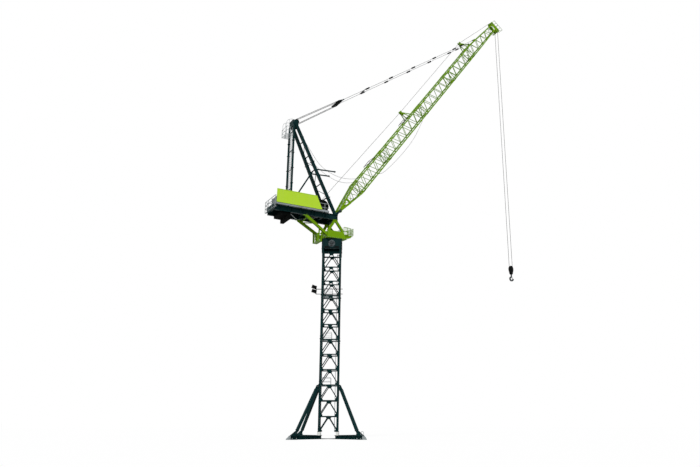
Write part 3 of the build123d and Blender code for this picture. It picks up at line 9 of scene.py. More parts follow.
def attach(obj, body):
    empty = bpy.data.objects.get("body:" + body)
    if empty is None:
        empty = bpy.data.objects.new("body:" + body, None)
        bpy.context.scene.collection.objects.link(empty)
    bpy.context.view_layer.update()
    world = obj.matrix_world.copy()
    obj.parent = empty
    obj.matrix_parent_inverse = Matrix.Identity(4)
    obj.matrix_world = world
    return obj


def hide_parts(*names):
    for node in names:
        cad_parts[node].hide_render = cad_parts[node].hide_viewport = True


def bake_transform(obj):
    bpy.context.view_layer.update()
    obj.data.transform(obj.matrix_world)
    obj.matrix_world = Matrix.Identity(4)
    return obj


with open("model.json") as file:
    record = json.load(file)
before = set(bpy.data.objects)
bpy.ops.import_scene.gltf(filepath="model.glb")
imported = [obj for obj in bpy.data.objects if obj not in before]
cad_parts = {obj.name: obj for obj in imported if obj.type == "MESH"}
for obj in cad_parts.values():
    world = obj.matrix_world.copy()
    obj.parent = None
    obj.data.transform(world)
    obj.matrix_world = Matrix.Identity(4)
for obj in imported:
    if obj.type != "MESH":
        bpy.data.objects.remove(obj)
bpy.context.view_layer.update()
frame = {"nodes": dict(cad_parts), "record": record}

# A luffing-jib tower crane at 1:2. Every size is in metres, in the crane's own frame:
# Z up the mast, X along the jib at rest, the near side at minus Y.
MM = 0.001
UP = Vector((0, 0, 1))
FORWARD = Vector((1, 0, 0))
LEFT = Vector((0, 1, 0))
LEVEL = (FORWARD, LEFT, UP)
SIDES = (-1, 1)
CORNERS = ((1, 1), (1, -1), (-1, 1), (-1, -1))

# The photograph's camera, fitted to the crane
PHOTO_WIDTH_PX = 700
FOCAL_PX = 639.0
CENTRE_X_PX = 376.0
CAMERA_PLACE = (-18.274, -37.601, 0.85)
CAMERA_PITCH = 16.66
CAMERA_TURN = -30.0
SENSOR_MM = 36.0

# Sizes of the solids that the details sit on: base and mast
MAST_TURN = math.radians(-28.5)
CHORD_CENTRE = 0.5675
MAST_BASE_Z = 0.425
SECTIONS = 4
SECTION_HEIGHT = 2.85
BEAM_MIDDLE_Z = 0.1125
BEAM_HEIGHT = 0.225
BEAM_END = 3.06
CLAMP_END = 3.27
FOOT_RADIUS = 2.84
STUD_REACH = 0.22 / math.sqrt(2)
STRUT_FOOT = (2.62, 0.34)
STRUT_TOP = (1.0, 3.13)
SUPPORT_HALF = 0.65
SUPPORT_MIDDLE = 12.4425
RING_MIDDLE = 12.81
LAMP_Z = 9.35

# Upperworks
SLEW_Z = 12.8305
SLEW_TOP_Z = 13.3605
SLEW_HALF = 0.675
DECK_BOTTOM = 14.1
DECK_TOP = 14.475
GIRDER_Y = 0.64
GIRDER_OUTER = 0.72
GIRDER_REAR = -4.45
WALKWAY_OUTER = 0.91
WALKWAY_FRONT = -0.7
APEX_X = -0.13
PROP_X = -2.29
HOIST_X = -0.88
LUFF_WINCH_X = -2.52
WINCH_Z = 15.095
DRUM_RADIUS = 0.28
DRUM_HALF = 0.232
HEAD_X = -3.11
HEAD_Z = 20.7
HEAD_SHEAVE_CENTRE = Vector((-2.985, 0, 20.9125))
HEAD_SHEAVE = 0.15
LEG_FOOT = (-0.134, 0.63)
LEG_TOP_Y = 0.3
REAR_LEG = (-3.285, 0.4)
REAR_LEG_LEAN = 0.03 / 5.975

# Jib, ropes and hook
PIVOT = Vector((0.365, 0, 14.9))
JIB_RISE = math.radians(53.3)
JIB_HALF_WIDTH = 0.4
JIB_HALF_DEPTH = 0.425
JIB_FOOT_U = 0.06
JIB_FOOT_W = 0.045
JIB_ROOT_U = 2.5
FOOT_FRAME_U = 1.05
JIB_KINK_U = 20.9
JIB_END_U = 24.95
JIB_END_TOP_W = 0.065
TIP_U = 25.05
TIP_TOP_W = 0.26
TIP_LOW_W = -0.8
TIP_SHEAVE = 0.15
GUARD_U = 25.55
LUG_U = 21.63
LUG_PIN_RISE = 0.11
POSTS_U = (10.45, 20.5)
POST_LEAN = 0.11
POST_HEAD_W = 1.14
ROPE_CROWN_W = 1.1943
ROPE = 0.018
ROPE_SEAT = 0.0093
ROPE_LOOK = 0.024
FALL_LOOK = 0.032
BLOCK_SHEAVE = 0.105
LUFF_ROPE_LENGTH = 3.9
LUFF_ROPE_ROWS = (-0.19, -0.13, 0.13, 0.19)
PENDANT_Y = 0.36
LAST_LINK = 14.2
BLOCK_TOP_Z = 12.99
HOOK_BLOCK_HEIGHT = 0.68
CABLE = 0.02


# Materials
def linear(hex_colour):
    """An sRGB hex colour as linear RGBA."""
    channels = [int(hex_colour[i:i + 2], 16) / 255 for i in (1, 3, 5)]
    return [c / 12.92 if c <= 0.04045 else ((c + 0.055) / 1.055) ** 2.4 for c in channels] + [1.0]


def add(tree, kind, links=None, **settings):
    """Adds a shader node; settings are its properties, links gives its inputs a value, a socket, or
    a node that stands for its first output."""
    made = tree.nodes.new("ShaderNode" + kind)
    for name, value in settings.items():
        setattr(made, name, value)
    for key, value in (links or {}).items():
        if isinstance(value, bpy.types.Node):
            value = next(socket for socket in value.outputs if socket.enabled)
        if isinstance(value, bpy.types.NodeSocket):
            tree.links.new(value, made.inputs[key])
        else:
            made.inputs[key].default_value = value
    return made


def blank(name):
    """A new material with nothing in it, its tree, and the place on the piece."""
    material = bpy.data.materials.new(name)
    material.use_nodes = True
    tree = material.node_tree
    tree.nodes.clear()
    return material, tree, add(tree, "TexCoord").outputs["Object"]


def enamel(name, colour, faded, dust, roughness, chip="#4A4038", sheen=0.2):
    """Two-pack enamel sprayed on plate steel: satin, its sheen dulled by chalking in broad patches,
    run by rain streaks, with a few chips down to primer and dust on what faces up."""
    material, tree, place = blank(name)
    patches = add(tree, "TexNoise", {
        "Vector": place, "Scale": 1 / (900 * MM), "Detail": 6.0, "Roughness": 0.6})
    spread = add(tree, "MapRange", {"Value": patches, "From Min": 0.35, "From Max": 0.7})
    paint = add(tree, "Mix", {"Factor": spread, "A": linear(colour), "B": linear(faded)}, data_type="RGBA")
    # Streaks 45 mm wide and 1.4 m long, straight down the plate
    drawn = add(tree, "VectorMath", {
        0: place, 1: (1 / (45 * MM), 1 / (45 * MM), 1 / (1400 * MM))}, operation="MULTIPLY")
    runs = add(tree, "TexNoise", {"Vector": drawn, "Scale": 1.0, "Detail": 3.0})
    streak = add(tree, "MapRange", {"Value": runs, "From Min": 0.55, "From Max": 0.8, "To Max": 0.28})
    streaked = add(tree, "Mix", {"Factor": streak, "A": paint, "B": linear(dust)}, data_type="RGBA")
    # Chips about 12 mm across, few and far between
    flakes = add(tree, "TexNoise", {"Vector": place, "Scale": 1 / (60 * MM), "Detail": 8.0})
    chipped = add(tree, "MapRange", {"Value": flakes, "From Min": 0.71, "From Max": 0.73, "To Max": 0.8})
    worn = add(tree, "Mix", {"Factor": chipped, "A": streaked, "B": linear(chip)}, data_type="RGBA")
    facing = add(tree, "SeparateXYZ", {"Vector": add(tree, "NewGeometry").outputs["Normal"]})
    top = add(tree, "MapRange", {
        "Value": facing.outputs["Z"], "From Min": 0.6, "From Max": 1.0, "To Max": 0.45})
    settled = add(tree, "Math", {0: top, 1: flakes}, operation="MULTIPLY")
    dusty = add(tree, "Mix", {"Factor": settled, "A": worn, "B": linear(dust)}, data_type="RGBA")
    # Orange peel, drawn at 9 mm so that it shows
    peel = add(tree, "TexNoise", {"Vector": place, "Scale": 1 / (9 * MM), "Detail": 2.0})
    bump = add(tree, "Bump", {"Height": peel, "Strength": 0.06, "Distance": 2 * MM})
    gloss = add(tree, "MapRange", {
        "Value": patches, "To Min": roughness - 0.08, "To Max": roughness + 0.12})
    shader = add(tree, "BsdfPrincipled", {
        "Base Color": dusty, "Roughness": gloss, "Normal": bump, "IOR": 1.5, "Specular IOR Level": sheen})
    add(tree, "OutputMaterial", {"Surface": shader})
    return material


def hot_dip_zinc():
    """Hot-dip galvanised steel: pale grey spangle, each crystal 14 mm wide, dulled by the weather."""
    material, tree, place = blank("hot_dip_zinc")
    crystals = add(tree, "TexVoronoi", {"Vector": place, "Scale": 1 / (14 * MM)})
    shade = add(tree, "SeparateColor", {"Color": crystals.outputs["Color"]})
    zinc = add(tree, "Mix", {
        "Factor": shade.outputs["Red"], "A": linear("#878F91"), "B": linear("#9DA5A7")}, data_type="RGBA")
    stain = add(tree, "TexNoise", {"Vector": place, "Scale": 1 / (420 * MM), "Detail": 5.0})
    stained = add(tree, "MapRange", {"Value": stain, "From Min": 0.45, "From Max": 0.75, "To Max": 0.5})
    dull = add(tree, "Mix", {"Factor": stained, "A": zinc, "B": linear("#6B7170")}, data_type="RGBA")
    gloss = add(tree, "MapRange", {"Value": shade.outputs["Green"], "To Min": 0.42, "To Max": 0.62})
    shader = add(tree, "BsdfPrincipled", {"Base Color": dull, "Metallic": 0.3, "Roughness": gloss})
    add(tree, "OutputMaterial", {"Surface": shader})
    return material


def bare_steel(name, bright, grease, smear_mm, roughness, bare):
    """Machined or drawn steel left bare: metallic as far as it is bare, with dark grease smeared on it."""
    material, tree, place = blank(name)
    smears = add(tree, "TexNoise", {"Vector": place, "Scale": 1 / (smear_mm * MM), "Detail": 5.0})
    spread = add(tree, "MapRange", {"Value": smears, "From Min": 0.38, "From Max": 0.62})
    metal = add(tree, "Mix", {"Factor": spread, "A": linear(bright), "B": linear(grease)}, data_type="RGBA")
    gloss = add(tree, "MapRange", {"Value": smears, "To Min": roughness - 0.1, "To Max": roughness + 0.1})
    shader = add(tree, "BsdfPrincipled", {"Base Color": metal, "Metallic": bare, "Roughness": gloss})
    add(tree, "OutputMaterial", {"Surface": shader})
    return material


def cast_black():
    """Cast iron under bitumen paint: dead black, with the sand mould's lumps, 25 mm wide and 4 mm high."""
    material, tree, place = blank("bitumen_on_cast_iron")
    lumps = add(tree, "TexNoise", {"Vector": place, "Scale": 1 / (25 * MM), "Detail": 6.0})
    coat = add(tree, "Mix", {
        "Factor": lumps, "A": linear("#030404"), "B": linear("#090B0B")}, data_type="RGBA")
    bump = add(tree, "Bump", {"Height": lumps, "Strength": 0.5, "Distance": 4 * MM})
    shader = add(tree, "BsdfPrincipled", {
        "Base Color": coat, "Roughness": 0.85, "Normal": bump, "IOR": 1.5, "Specular IOR Level": 0.04})
    add(tree, "OutputMaterial", {"Surface": shader})
    return material


def sheath_rubber():
    """Moulded cable rubber: matt near-black, bloomed grey where it has stood in the sun."""
    material, tree, place = blank("sheath_rubber")
    bloom = add(tree, "TexNoise", {"Vector": place, "Scale": 1 / (180 * MM), "Detail": 3.0})
    skin = add(tree, "Mix", {
        "Factor": bloom, "A": linear("#0B0D0E"), "B": linear("#161A1C")}, data_type="RGBA")
    shader = add(tree, "BsdfPrincipled", {"Base Color": skin, "Roughness": 0.62, "IOR": 1.52})
    add(tree, "OutputMaterial", {"Surface": shader})
    return material


MATERIALS = {
    "teal_steel": enamel("teal_enamel", "#042425", "#072C2D", "#122E2E", 0.45, "#15110F", 0.06),
    "green_steel": enamel("apple_green_enamel", "#6A9600", "#74A000", "#7C921E", 0.42, "#4A4E1E", 0.1),
    "lime_panel": enamel("lime_enamel", "#B6DE2E", "#BAE036", "#BCD274", 0.38, "#9CB440"),
    "black_steel": enamel("black_enamel", "#040606", "#080B0B", "#161918", 0.48, "#1A1614", 0.06),
    "black_iron": cast_black(),
    "grey_galvanised": hot_dip_zinc(),
    "bearing_steel": bare_steel("greased_bright_steel", "#4A5254", "#1E2122", 70, 0.4, 0.85),
    "wire_rope": bare_steel("oiled_wire_rope", "#1C2022", "#0C0E0F", 45, 0.6, 0.2),
    "cable_rubber": sheath_rubber(),
    "pale_shoe": enamel("white_primer", "#E2E4E0", "#ECECE8", "#C9C6BC", 0.5, "#B9B4A8"),
}
for row in frame["record"]["subparts"]:
    node = frame["nodes"][row["node"]]
    node.data.materials.clear()
    node.data.materials.append(MATERIALS[row["material_slot"]])


# Making pieces
class Shape:
    """The corners and faces of one piece, gathered until its mesh is made."""

    def __init__(self):
        self.corners, self.faces = [], []

    def join(self, corners, faces):
        first = len(self.corners)
        self.corners += corners
        self.faces += [[first + i for i in face] for face in faces]

    def skin(self, rings, closed=False):
        """Joins rings of points to a tube, its ends filled unless it closes on itself."""
        count, sides = len(rings), len(rings[0])
        faces = []
        for i in range(count if closed else count - 1):
            here, there = i * sides, (i + 1) % count * sides
            for k in range(sides):
                n = (k + 1) % sides
                faces.append((here + k, here + n, there + n, there + k))
        if not closed:
            faces += [range(sides)[::-1], range((count - 1) * sides, count * sides)]
        self.join([point for ring in rings for point in ring], faces)


BRICK_FACES = ((0, 1, 3, 2), (4, 6, 7, 5), (0, 4, 5, 1), (2, 3, 7, 6), (0, 2, 6, 4), (1, 5, 7, 3))


def at(x, y, z):
    """A point."""
    return Vector((x, y, z))


def brick(shape, centre, size, axes=LEVEL):
    """A block about its centre; axes are the directions of its three sizes."""
    along, wide, high = [axis * (length / 2) for axis, length in zip(axes, size)]
    shape.join([centre + along * a + wide * b + high * c for a in SIDES for b in SIDES for c in SIDES],
               BRICK_FACES)


def stick(shape, start, end, width, depth, across=None):
    """A flat bar from point to point; across is the direction of its width."""
    along = (end - start).normalized()
    if across is None:
        across = LEFT if abs(along.z) > 0.999 else UP.cross(along)
    side = (across - along * across.dot(along)).normalized()
    brick(shape, (start + end) / 2, ((end - start).length, width, depth), (along, side, along.cross(side)))


def ring(centre, right, front, reaches, twist=0.0):
    """Points round a centre, one at each reach."""
    turns = [math.tau * k / len(reaches) + twist for k in range(len(reaches))]
    return [centre + (right * math.cos(turn) + front * math.sin(turn)) * reach
            for turn, reach in zip(turns, reaches)]


def turned(shape, centre, axis, profile, sides=16):
    """A turned form about an axis; the profile's pairs are distance along it and radius."""
    axis = axis.normalized()
    right = axis.orthogonal().normalized()
    front = axis.cross(right)
    shape.skin([ring(centre + axis * distance, right, front, [radius] * sides)
                for distance, radius in profile])


def both_ways(profile):
    """A turned profile with its mirror image before it."""
    return [(-far, radius) for far, radius in reversed(profile)] + profile


def pipe(shape, points, radius, sides=8, closed=False):
    """A round tube along a line of points."""
    rings, side = [], None
    for i, point in enumerate(points):
        before = points[i - 1] if i or closed else point
        after = points[(i + 1) % len(points)] if i < len(points) - 1 or closed else point
        along = (after - before).normalized()
        side = along.orthogonal() if side is None else side - along * side.dot(along)
        side.normalize()
        rings.append(ring(point, side, along.cross(side), [radius] * sides))
    shape.skin(rings, closed)


def laid_rope(shape, start, end, radius=ROPE_LOOK / 2):
    """A taut wire rope in six strands, thicker and with a longer lay than a real one so that it shows."""
    step, twist, strands, valley = 0.05, math.radians(15), 6, 0.74
    along = (end - start).normalized()
    side = along.orthogonal().normalized()
    steps = max(2, math.ceil((end - start).length / step))
    reaches = [radius, radius * valley] * strands
    shape.skin([ring(start + (end - start) * (i / steps), side, along.cross(side), reaches, i * twist)
                for i in range(steps + 1)])


def wedge(shape, outline, through):
    """A flat plate: an outline of points, pushed through by a vector."""
    shape.skin([outline, [point + through for point in outline]])


def bolt(shape, place, out, size):
    """A hexagon head on its washer; size is the thread's radius."""
    turned(shape, place, out, [(0, 2.1 * size), (0.35 * size, 2.1 * size)], 12)
    head = [(0.35 * size, 1.7 * size), (1.3 * size, 1.7 * size), (1.5 * size, 1.45 * size)]
    turned(shape, place, out, head, 6)


def pin(shape, place, axis, radius, reach):
    """A pin with a collar and a smaller nose at both ends; reach is half its length."""
    collar, nose, shoulder = radius * 1.35, reach - radius * 0.3, reach - radius * 0.9
    end = [(shoulder, collar), (nose, collar), (nose, radius), (reach, radius * 0.7)]
    turned(shape, place, axis, both_ways(end))


def mesh_infill(shape, corner, along, up, length, height, pitch=0.05, wire=0.007):
    """Welded wire mesh between rails, from its lower corner."""
    for k in range(round(length / pitch) + 1):
        start = corner + along * min(length, k * pitch)
        stick(shape, start, start + up * height, wire, wire, along)
    for k in range(round(height / pitch) + 1):
        start = corner + up * min(height, k * pitch)
        stick(shape, start, start + along * length, wire, wire * 0.7, up)


def grating(shape, corner, along, across, length, width, pitch=0.034, depth=0.02):
    """Open grating: bearing bars along it, cross rods and a frame round it, hung below the corner."""
    middle = corner - along.cross(across).normalized() * (depth / 2)
    bars, rods = max(2, round(width / pitch)), max(2, round(length / 0.11))
    for k in range(bars + 1):
        start = middle + across * (width * k / bars)
        stick(shape, start, start + along * length, 0.008 if k in (0, bars) else 0.004, depth, across)
    for k in range(rods + 1):
        start = middle + along * (length * k / rods)
        thick, deep = (0.008, 0.9) if k in (0, rods) else (0.005, 0.3)
        stick(shape, start, start + across * width, thick, depth * deep, along)


def piece(name, shape, body, slot, round_edges=False, replaces=()):
    """Makes the mesh; it rides on its body, or on none if no body is given."""
    mesh = bpy.data.meshes.new(name)
    mesh.from_pydata([tuple(corner) for corner in shape.corners], [], shape.faces)
    skin = bmesh.new()
    skin.from_mesh(mesh)
    bmesh.ops.recalc_face_normals(skin, faces=skin.faces)
    skin.to_mesh(mesh)
    skin.free()
    mesh.materials.append(MATERIALS[slot])
    if round_edges:
        mesh.polygons.foreach_set("use_smooth", [True] * len(mesh.polygons))
        mesh.set_sharp_from_angle(angle=math.radians(45))
    made = bpy.data.objects.new(name, mesh)
    bpy.context.scene.collection.objects.link(made)
    if body:
        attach(made, body)
    if replaces:
        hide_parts(*replaces)
    return made


# Places
SPIN = Matrix.Rotation(MAST_TURN, 3, "Z")
MAST_AXES = [SPIN @ axis for axis in LEVEL]
JIB_ALONG = at(math.cos(JIB_RISE), 0, math.sin(JIB_RISE))
JIB_OUT = at(-math.sin(JIB_RISE), 0, math.cos(JIB_RISE))
JIB_AXES = (JIB_ALONG, LEFT, JIB_OUT)


def on_mast(x, y, z):
    """A point given in the mast's own square frame."""
    return SPIN @ at(x, y, z)


def beam_axes(k):
    """Directions along, across and up from the k-th diagonal beam of the base."""
    turn = MAST_TURN + math.radians(45 + 90 * k)
    out = at(math.cos(turn), math.sin(turn), 0)
    return out, UP.cross(out), UP


def on_beam(k, radius, across, z):
    """A point along the k-th diagonal beam of the base."""
    out, aside, up = beam_axes(k)
    return out * radius + aside * across + up * z


def on_jib(u, w, y=0.0):
    """A point given along and across the jib."""
    return PIVOT + JIB_ALONG * u + JIB_OUT * w + LEFT * y


def across_jib(u, w, half):
    """Two points level with each other on the jib's right and left."""
    return [on_jib(u, w, side * half) for side in SIDES]


def upper_chord(u):
    """How far the upper chord's middle lies out from the jib's axis."""
    if u < JIB_ROOT_U:
        share = (u - JIB_FOOT_U) / (JIB_ROOT_U - JIB_FOOT_U)
        return JIB_FOOT_W + (JIB_HALF_DEPTH - JIB_FOOT_W) * share
    share = max(0.0, (u - JIB_KINK_U) / (JIB_END_U - JIB_KINK_U))
    return JIB_HALF_DEPTH + (JIB_END_TOP_W - JIB_HALF_DEPTH) * share


def front_leg(side, z):
    """The middle of an A-frame front leg at a height."""
    (foot_x, foot_y), share = LEG_FOOT, (z - DECK_TOP) / (HEAD_Z - DECK_TOP)
    return at(foot_x + (HEAD_X - foot_x) * share, side * (foot_y + (LEG_TOP_Y - foot_y) * share), z)


def rear_leg(side, z):
    """The middle of an A-frame rear leg at a height."""
    x, y = REAR_LEG
    return at(x + REAR_LEG_LEAN * (z - DECK_TOP), side * y, z)


def lug_pin(y=0.0):
    """The middle of the pin that joins the pendants to the jib."""
    return on_jib(LUG_U, upper_chord(LUG_U) + LUG_PIN_RISE, y)


def tip_wheel():
    """The middle of the jib head's lower sheave."""
    return on_jib(TIP_U, TIP_LOW_W + TIP_SHEAVE)


def hook_block_middle():
    """The middle of the hook block, plumb under the jib head."""
    return at(tip_wheel().x, 0, BLOCK_TOP_Z - HOOK_BLOCK_HEIGHT / 2)


# Cords: two control cables from the A-frame to the jib foot, and a line hanging under the jib
LONG_CABLE = (
    (-2.518, -0.354, 19.743), (-2.452, -0.361, 19.608), (-2.335, -0.366, 19.385), (-2.19, -0.371, 19.165),
    (-2.03, -0.375, 18.94), (-1.86, -0.378, 18.715), (-1.69, -0.38, 18.48), (-1.5, -0.38, 18.245),
    (-1.29, -0.38, 18.03), (-1.05, -0.38, 17.84), (-0.79, -0.38, 17.685), (-0.52, -0.38, 17.57),
    (-0.24, -0.382, 17.475), (0.05, -0.385, 17.405), (0.34, -0.39, 17.358), (0.64, -0.394, 17.342),
    (0.93, -0.397, 17.36), (1.21, -0.399, 17.405), (1.45, -0.4, 17.462), (1.61, -0.4, 17.512),
    (1.719, -0.4, 17.545), (1.791, -0.4, 17.641),
)
SHORT_CABLE = (
    (-1.71, -0.415, 18.053), (-1.644, -0.408, 17.918), (-1.5, -0.4, 17.778), (-1.29, -0.392, 17.64),
    (-1.06, -0.386, 17.5), (-0.82, -0.384, 17.368), (-0.56, -0.384, 17.245), (-0.29, -0.386, 17.135),
    (0.0, -0.39, 17.058), (0.29, -0.394, 17.018), (0.58, -0.397, 17.012), (0.86, -0.399, 17.045),
    (1.11, -0.4, 17.102), (1.31, -0.4, 17.165), (1.48, -0.4, 17.224), (1.553, -0.4, 17.32),
)
HANGING_LINE = (
    (4.6, -0.495), (4.632, -0.54), (4.7, -0.59), (4.83, -0.64), (5.0, -0.678), (5.2, -0.712), (5.42, -0.742),
    (5.66, -0.77), (5.91, -0.795), (6.205, -0.82), (6.5, -0.843), (6.795, -0.862), (7.09, -0.878),
    (7.385, -0.889), (7.68, -0.896), (7.975, -0.898), (8.27, -0.895), (8.565, -0.886), (8.855, -0.87),
    (9.14, -0.845), (9.42, -0.812), (9.69, -0.77), (9.95, -0.725), (10.2, -0.676), (10.44, -0.627),
    (10.61, -0.596), (10.73, -0.577), (10.84, -0.56), (10.93, -0.535), (10.975, -0.495),
)


def smooth_line(name, route):
    """Points read from a NURBS spline with the route's points as its control points."""
    curve = bpy.data.curves.new(name, "CURVE")
    curve.dimensions = "3D"
    curve.resolution_u = 6
    spline = curve.splines.new("NURBS")
    spline.points.add(len(route) - 1)
    for point, place in zip(spline.points, route):
        point.co = (*place, 1.0)
    spline.order_u = 3
    spline.use_endpoint_u = True
    holder = bpy.data.objects.new(name, curve)
    mesh = bpy.data.meshes.new_from_object(holder)
    points = [vertex.co.copy() for vertex in mesh.vertices]
    bpy.data.objects.remove(holder)
    bpy.data.curves.remove(curve)
    bpy.data.meshes.remove(mesh)
    return points


def free_cord(name, route, node):
    """A rubber-sheathed cable as a tube along its smooth line."""
    points = smooth_line(name + "_line", route)
    shape = Shape()
    pipe(shape, points, CABLE / 2, 10)
    made = piece(name, shape, None, "cable_rubber", round_edges=True, replaces=(node,))
    return made


def cords():
    for name, route in (("control_cable_long", LONG_CABLE), ("control_cable_short", SHORT_CABLE)):
        cable = free_cord(name, route, "control_cables")
        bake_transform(cable)
    route = [tuple(on_jib(u, w, -JIB_HALF_WIDTH)) for u, w in HANGING_LINE]
    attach(free_cord("hanging_line", route, "jib_slack_line"), "jib")


# Ropes
def arc(centre, radius, axis, start, turn, steps=14):
    """Points on an arc about an axis, from the direction start through an angle."""
    return [centre + Matrix.Rotation(turn * i / steps, 3, axis) @ (start.normalized() * radius)
            for i in range(steps + 1)]


def luffing_line():
    """The luffing block's middle, and the directions along and across the pendants."""
    along = (lug_pin() - HEAD_SHEAVE_CENTRE).normalized()
    return HEAD_SHEAVE_CENTRE + along * LUFF_ROPE_LENGTH, along, at(-along.z, 0, along.x)


def rope_wrap(name, centre, radius, start, turn, body, rows=(0,)):
    """Rope lying round a sheave, one wrap for each row."""
    wraps = Shape()
    for y in rows:
        pipe(wraps, arc(centre + LEFT * y, radius + ROPE_SEAT, LEFT, start, turn), ROPE / 2)
    piece(name, wraps, body, "wire_rope", round_edges=True)


def ropes():
    # A taut rope between two bodies has corners at its ends only, so it stays straight wherever the jib goes
    block, _, across = luffing_line()
    falls = Shape()
    for y in LUFF_ROPE_ROWS:
        for way in SIDES:
            start = HEAD_SHEAVE_CENTRE + LEFT * y + across * (way * (HEAD_SHEAVE + ROPE_SEAT))
            end = block + LEFT * y + across * (way * (BLOCK_SHEAVE + ROPE_SEAT))
            pipe(falls, [start, end], ROPE_LOOK / 2, 12)
    made = piece("luffing_rope_falls", falls, None, "wire_rope", replaces=("luffing_ropes",))
    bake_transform(made)
    rope_wrap("luffing_rope_head_wraps", HEAD_SHEAVE_CENTRE, HEAD_SHEAVE, across, -math.pi, "upperworks",
              LUFF_ROPE_ROWS)
    rope_wrap("luffing_rope_block_wraps", block, BLOCK_SHEAVE, across, math.pi, "jib", LUFF_ROPE_ROWS)

    low, high = [on_jib(u - POST_LEAN, ROPE_CROWN_W) for u in POSTS_U]
    tip = on_jib(TIP_U, TIP_TOP_W + ROPE_SEAT)
    drum = at(HOIST_X, 0, WINCH_Z)
    lead = (low - drum).normalized()
    start = drum + at(-lead.z, 0, lead.x) * (DRUM_RADIUS + ROPE_SEAT)
    lower, upper = Shape(), Shape()
    pipe(lower, [start, low - lead * ROPE], ROPE_LOOK / 2, 12)
    laid_rope(upper, low, high)
    laid_rope(upper, high, tip)
    made = piece("hoist_rope_from_drum", lower, None, "wire_rope", replaces=("hoist_rope_lower",))
    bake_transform(made)
    piece("hoist_rope_along_jib", upper, "jib", "wire_rope", replaces=("hoist_rope_upper",))

    wheel, block_wheel = tip_wheel(), hook_block_middle()
    hung = Shape()
    for side in SIDES:
        aside = FORWARD * (side * (TIP_SHEAVE + ROPE_SEAT))
        laid_rope(hung, wheel + aside, block_wheel + aside, FALL_LOOK / 2)
    made = piece("hoist_rope_falls", hung, None, "wire_rope", replaces=("hoist_falls",))
    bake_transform(made)
    rope_wrap("hoist_rope_fall_wrap", wheel, TIP_SHEAVE, FORWARD, -math.pi, "falls")
    top_wheel = on_jib(TIP_U, TIP_TOP_W - TIP_SHEAVE)
    rope_wrap("hoist_rope_tip_wrap", top_wheel, TIP_SHEAVE, JIB_OUT, math.radians(110), "jib")
    rope_wrap("hoist_rope_block_wrap", block_wheel, TIP_SHEAVE, FORWARD, math.pi, "hook_block")


# Base and mast
def base_details():
    studs, plates, pins, clamps = Shape(), Shape(), Shape(), Shape()
    for k in range(4):
        axes = beam_axes(k)
        out, aside = axes[:2]
        # Washer, nut and thread end of each anchor stud
        for a, b in CORNERS:
            place = on_beam(k, FOOT_RADIUS + a * STUD_REACH, b * STUD_REACH, 0.03)
            turned(studs, place, UP, [(0, 0.036), (0.006, 0.036)])
            turned(studs, place, UP, [(0.006, 0.031), (0.03, 0.031), (0.034, 0.027)], 6)
            turned(studs, place, UP, [(0.03, 0.0165), (0.064, 0.0165), (0.068, 0.013)], 12)
        # Stiffeners on both sides of the web, and a plate over the beam's end
        for radius in (0.85, 1.25, 1.65, 2.05, 2.42, 2.82):
            for side in SIDES:
                brick(plates, on_beam(k, radius, side * 0.0435, BEAM_MIDDLE_Z), (0.012, 0.063, 0.165), axes)
        brick(plates, on_beam(k, BEAM_END + 0.006, 0, BEAM_MIDDLE_Z), (0.012, 0.15, BEAM_HEIGHT), axes)
        # A pin with its keepers, and a collar, at both ends of the strut
        foot, top = [on_beam(k, radius, 0, z) for radius, z in (STRUT_FOOT, STRUT_TOP)]
        along = (top - foot).normalized()
        for end, way in ((foot, 1), (top, -1)):
            pin(pins, end, aside, 0.038, 0.075)
            for side in SIDES:
                keeper = end + aside * (side * 0.0445) + UP * 0.055
                brick(pins, keeper, (0.07, 0.009, 0.03), axes)
                bolt(pins, keeper + aside * (side * 0.0045), aside * side, 0.007)
            brick(plates, end + along * (way * 0.225), (0.036, 0.174, 0.174),
                  (along, aside, along.cross(aside)))
        # Gussets beside the strut's foot
        for side in SIDES:
            gusset = ((2.64, BEAM_HEIGHT), (3.02, BEAM_HEIGHT), (2.5, 0.56), (2.44, 0.56))
            wedge(plates, [on_beam(k, r, side * 0.06 - 0.008, z) for r, z in gusset], aside * 0.016)
        # The clamp that holds the beam's end down, with two nuts, and a lifting ring on every other beam
        toe = ((BEAM_END + 0.012, 0.0), (CLAMP_END, 0.0), (CLAMP_END, 0.045), (3.16, 0.12),
               (BEAM_END + 0.012, 0.2))
        wedge(clamps, [on_beam(k, r, -0.1, z) for r, z in toe], aside * 0.2)
        for radius, z in ((3.12, 0.15), (3.22, 0.07)):
            turned(clamps, on_beam(k, radius, 0, z), UP, [(0, 0.03), (0.05, 0.03), (0.055, 0.02)], 6)
        if k % 2:
            eye = on_beam(k, 2.98, 0, 0.35)
            pipe(clamps, arc(eye, 0.12, aside, out, math.tau, 20)[:-1], 0.013, closed=True)
    piece("beam_end_clamps", clamps, "mast", "grey_galvanised")
    piece("anchor_studs", studs, "mast", "grey_galvanised")
    piece("beam_stiffeners", plates, "mast", "teal_steel")
    piece("strut_pins", pins, "mast", "bearing_steel", round_edges=True)


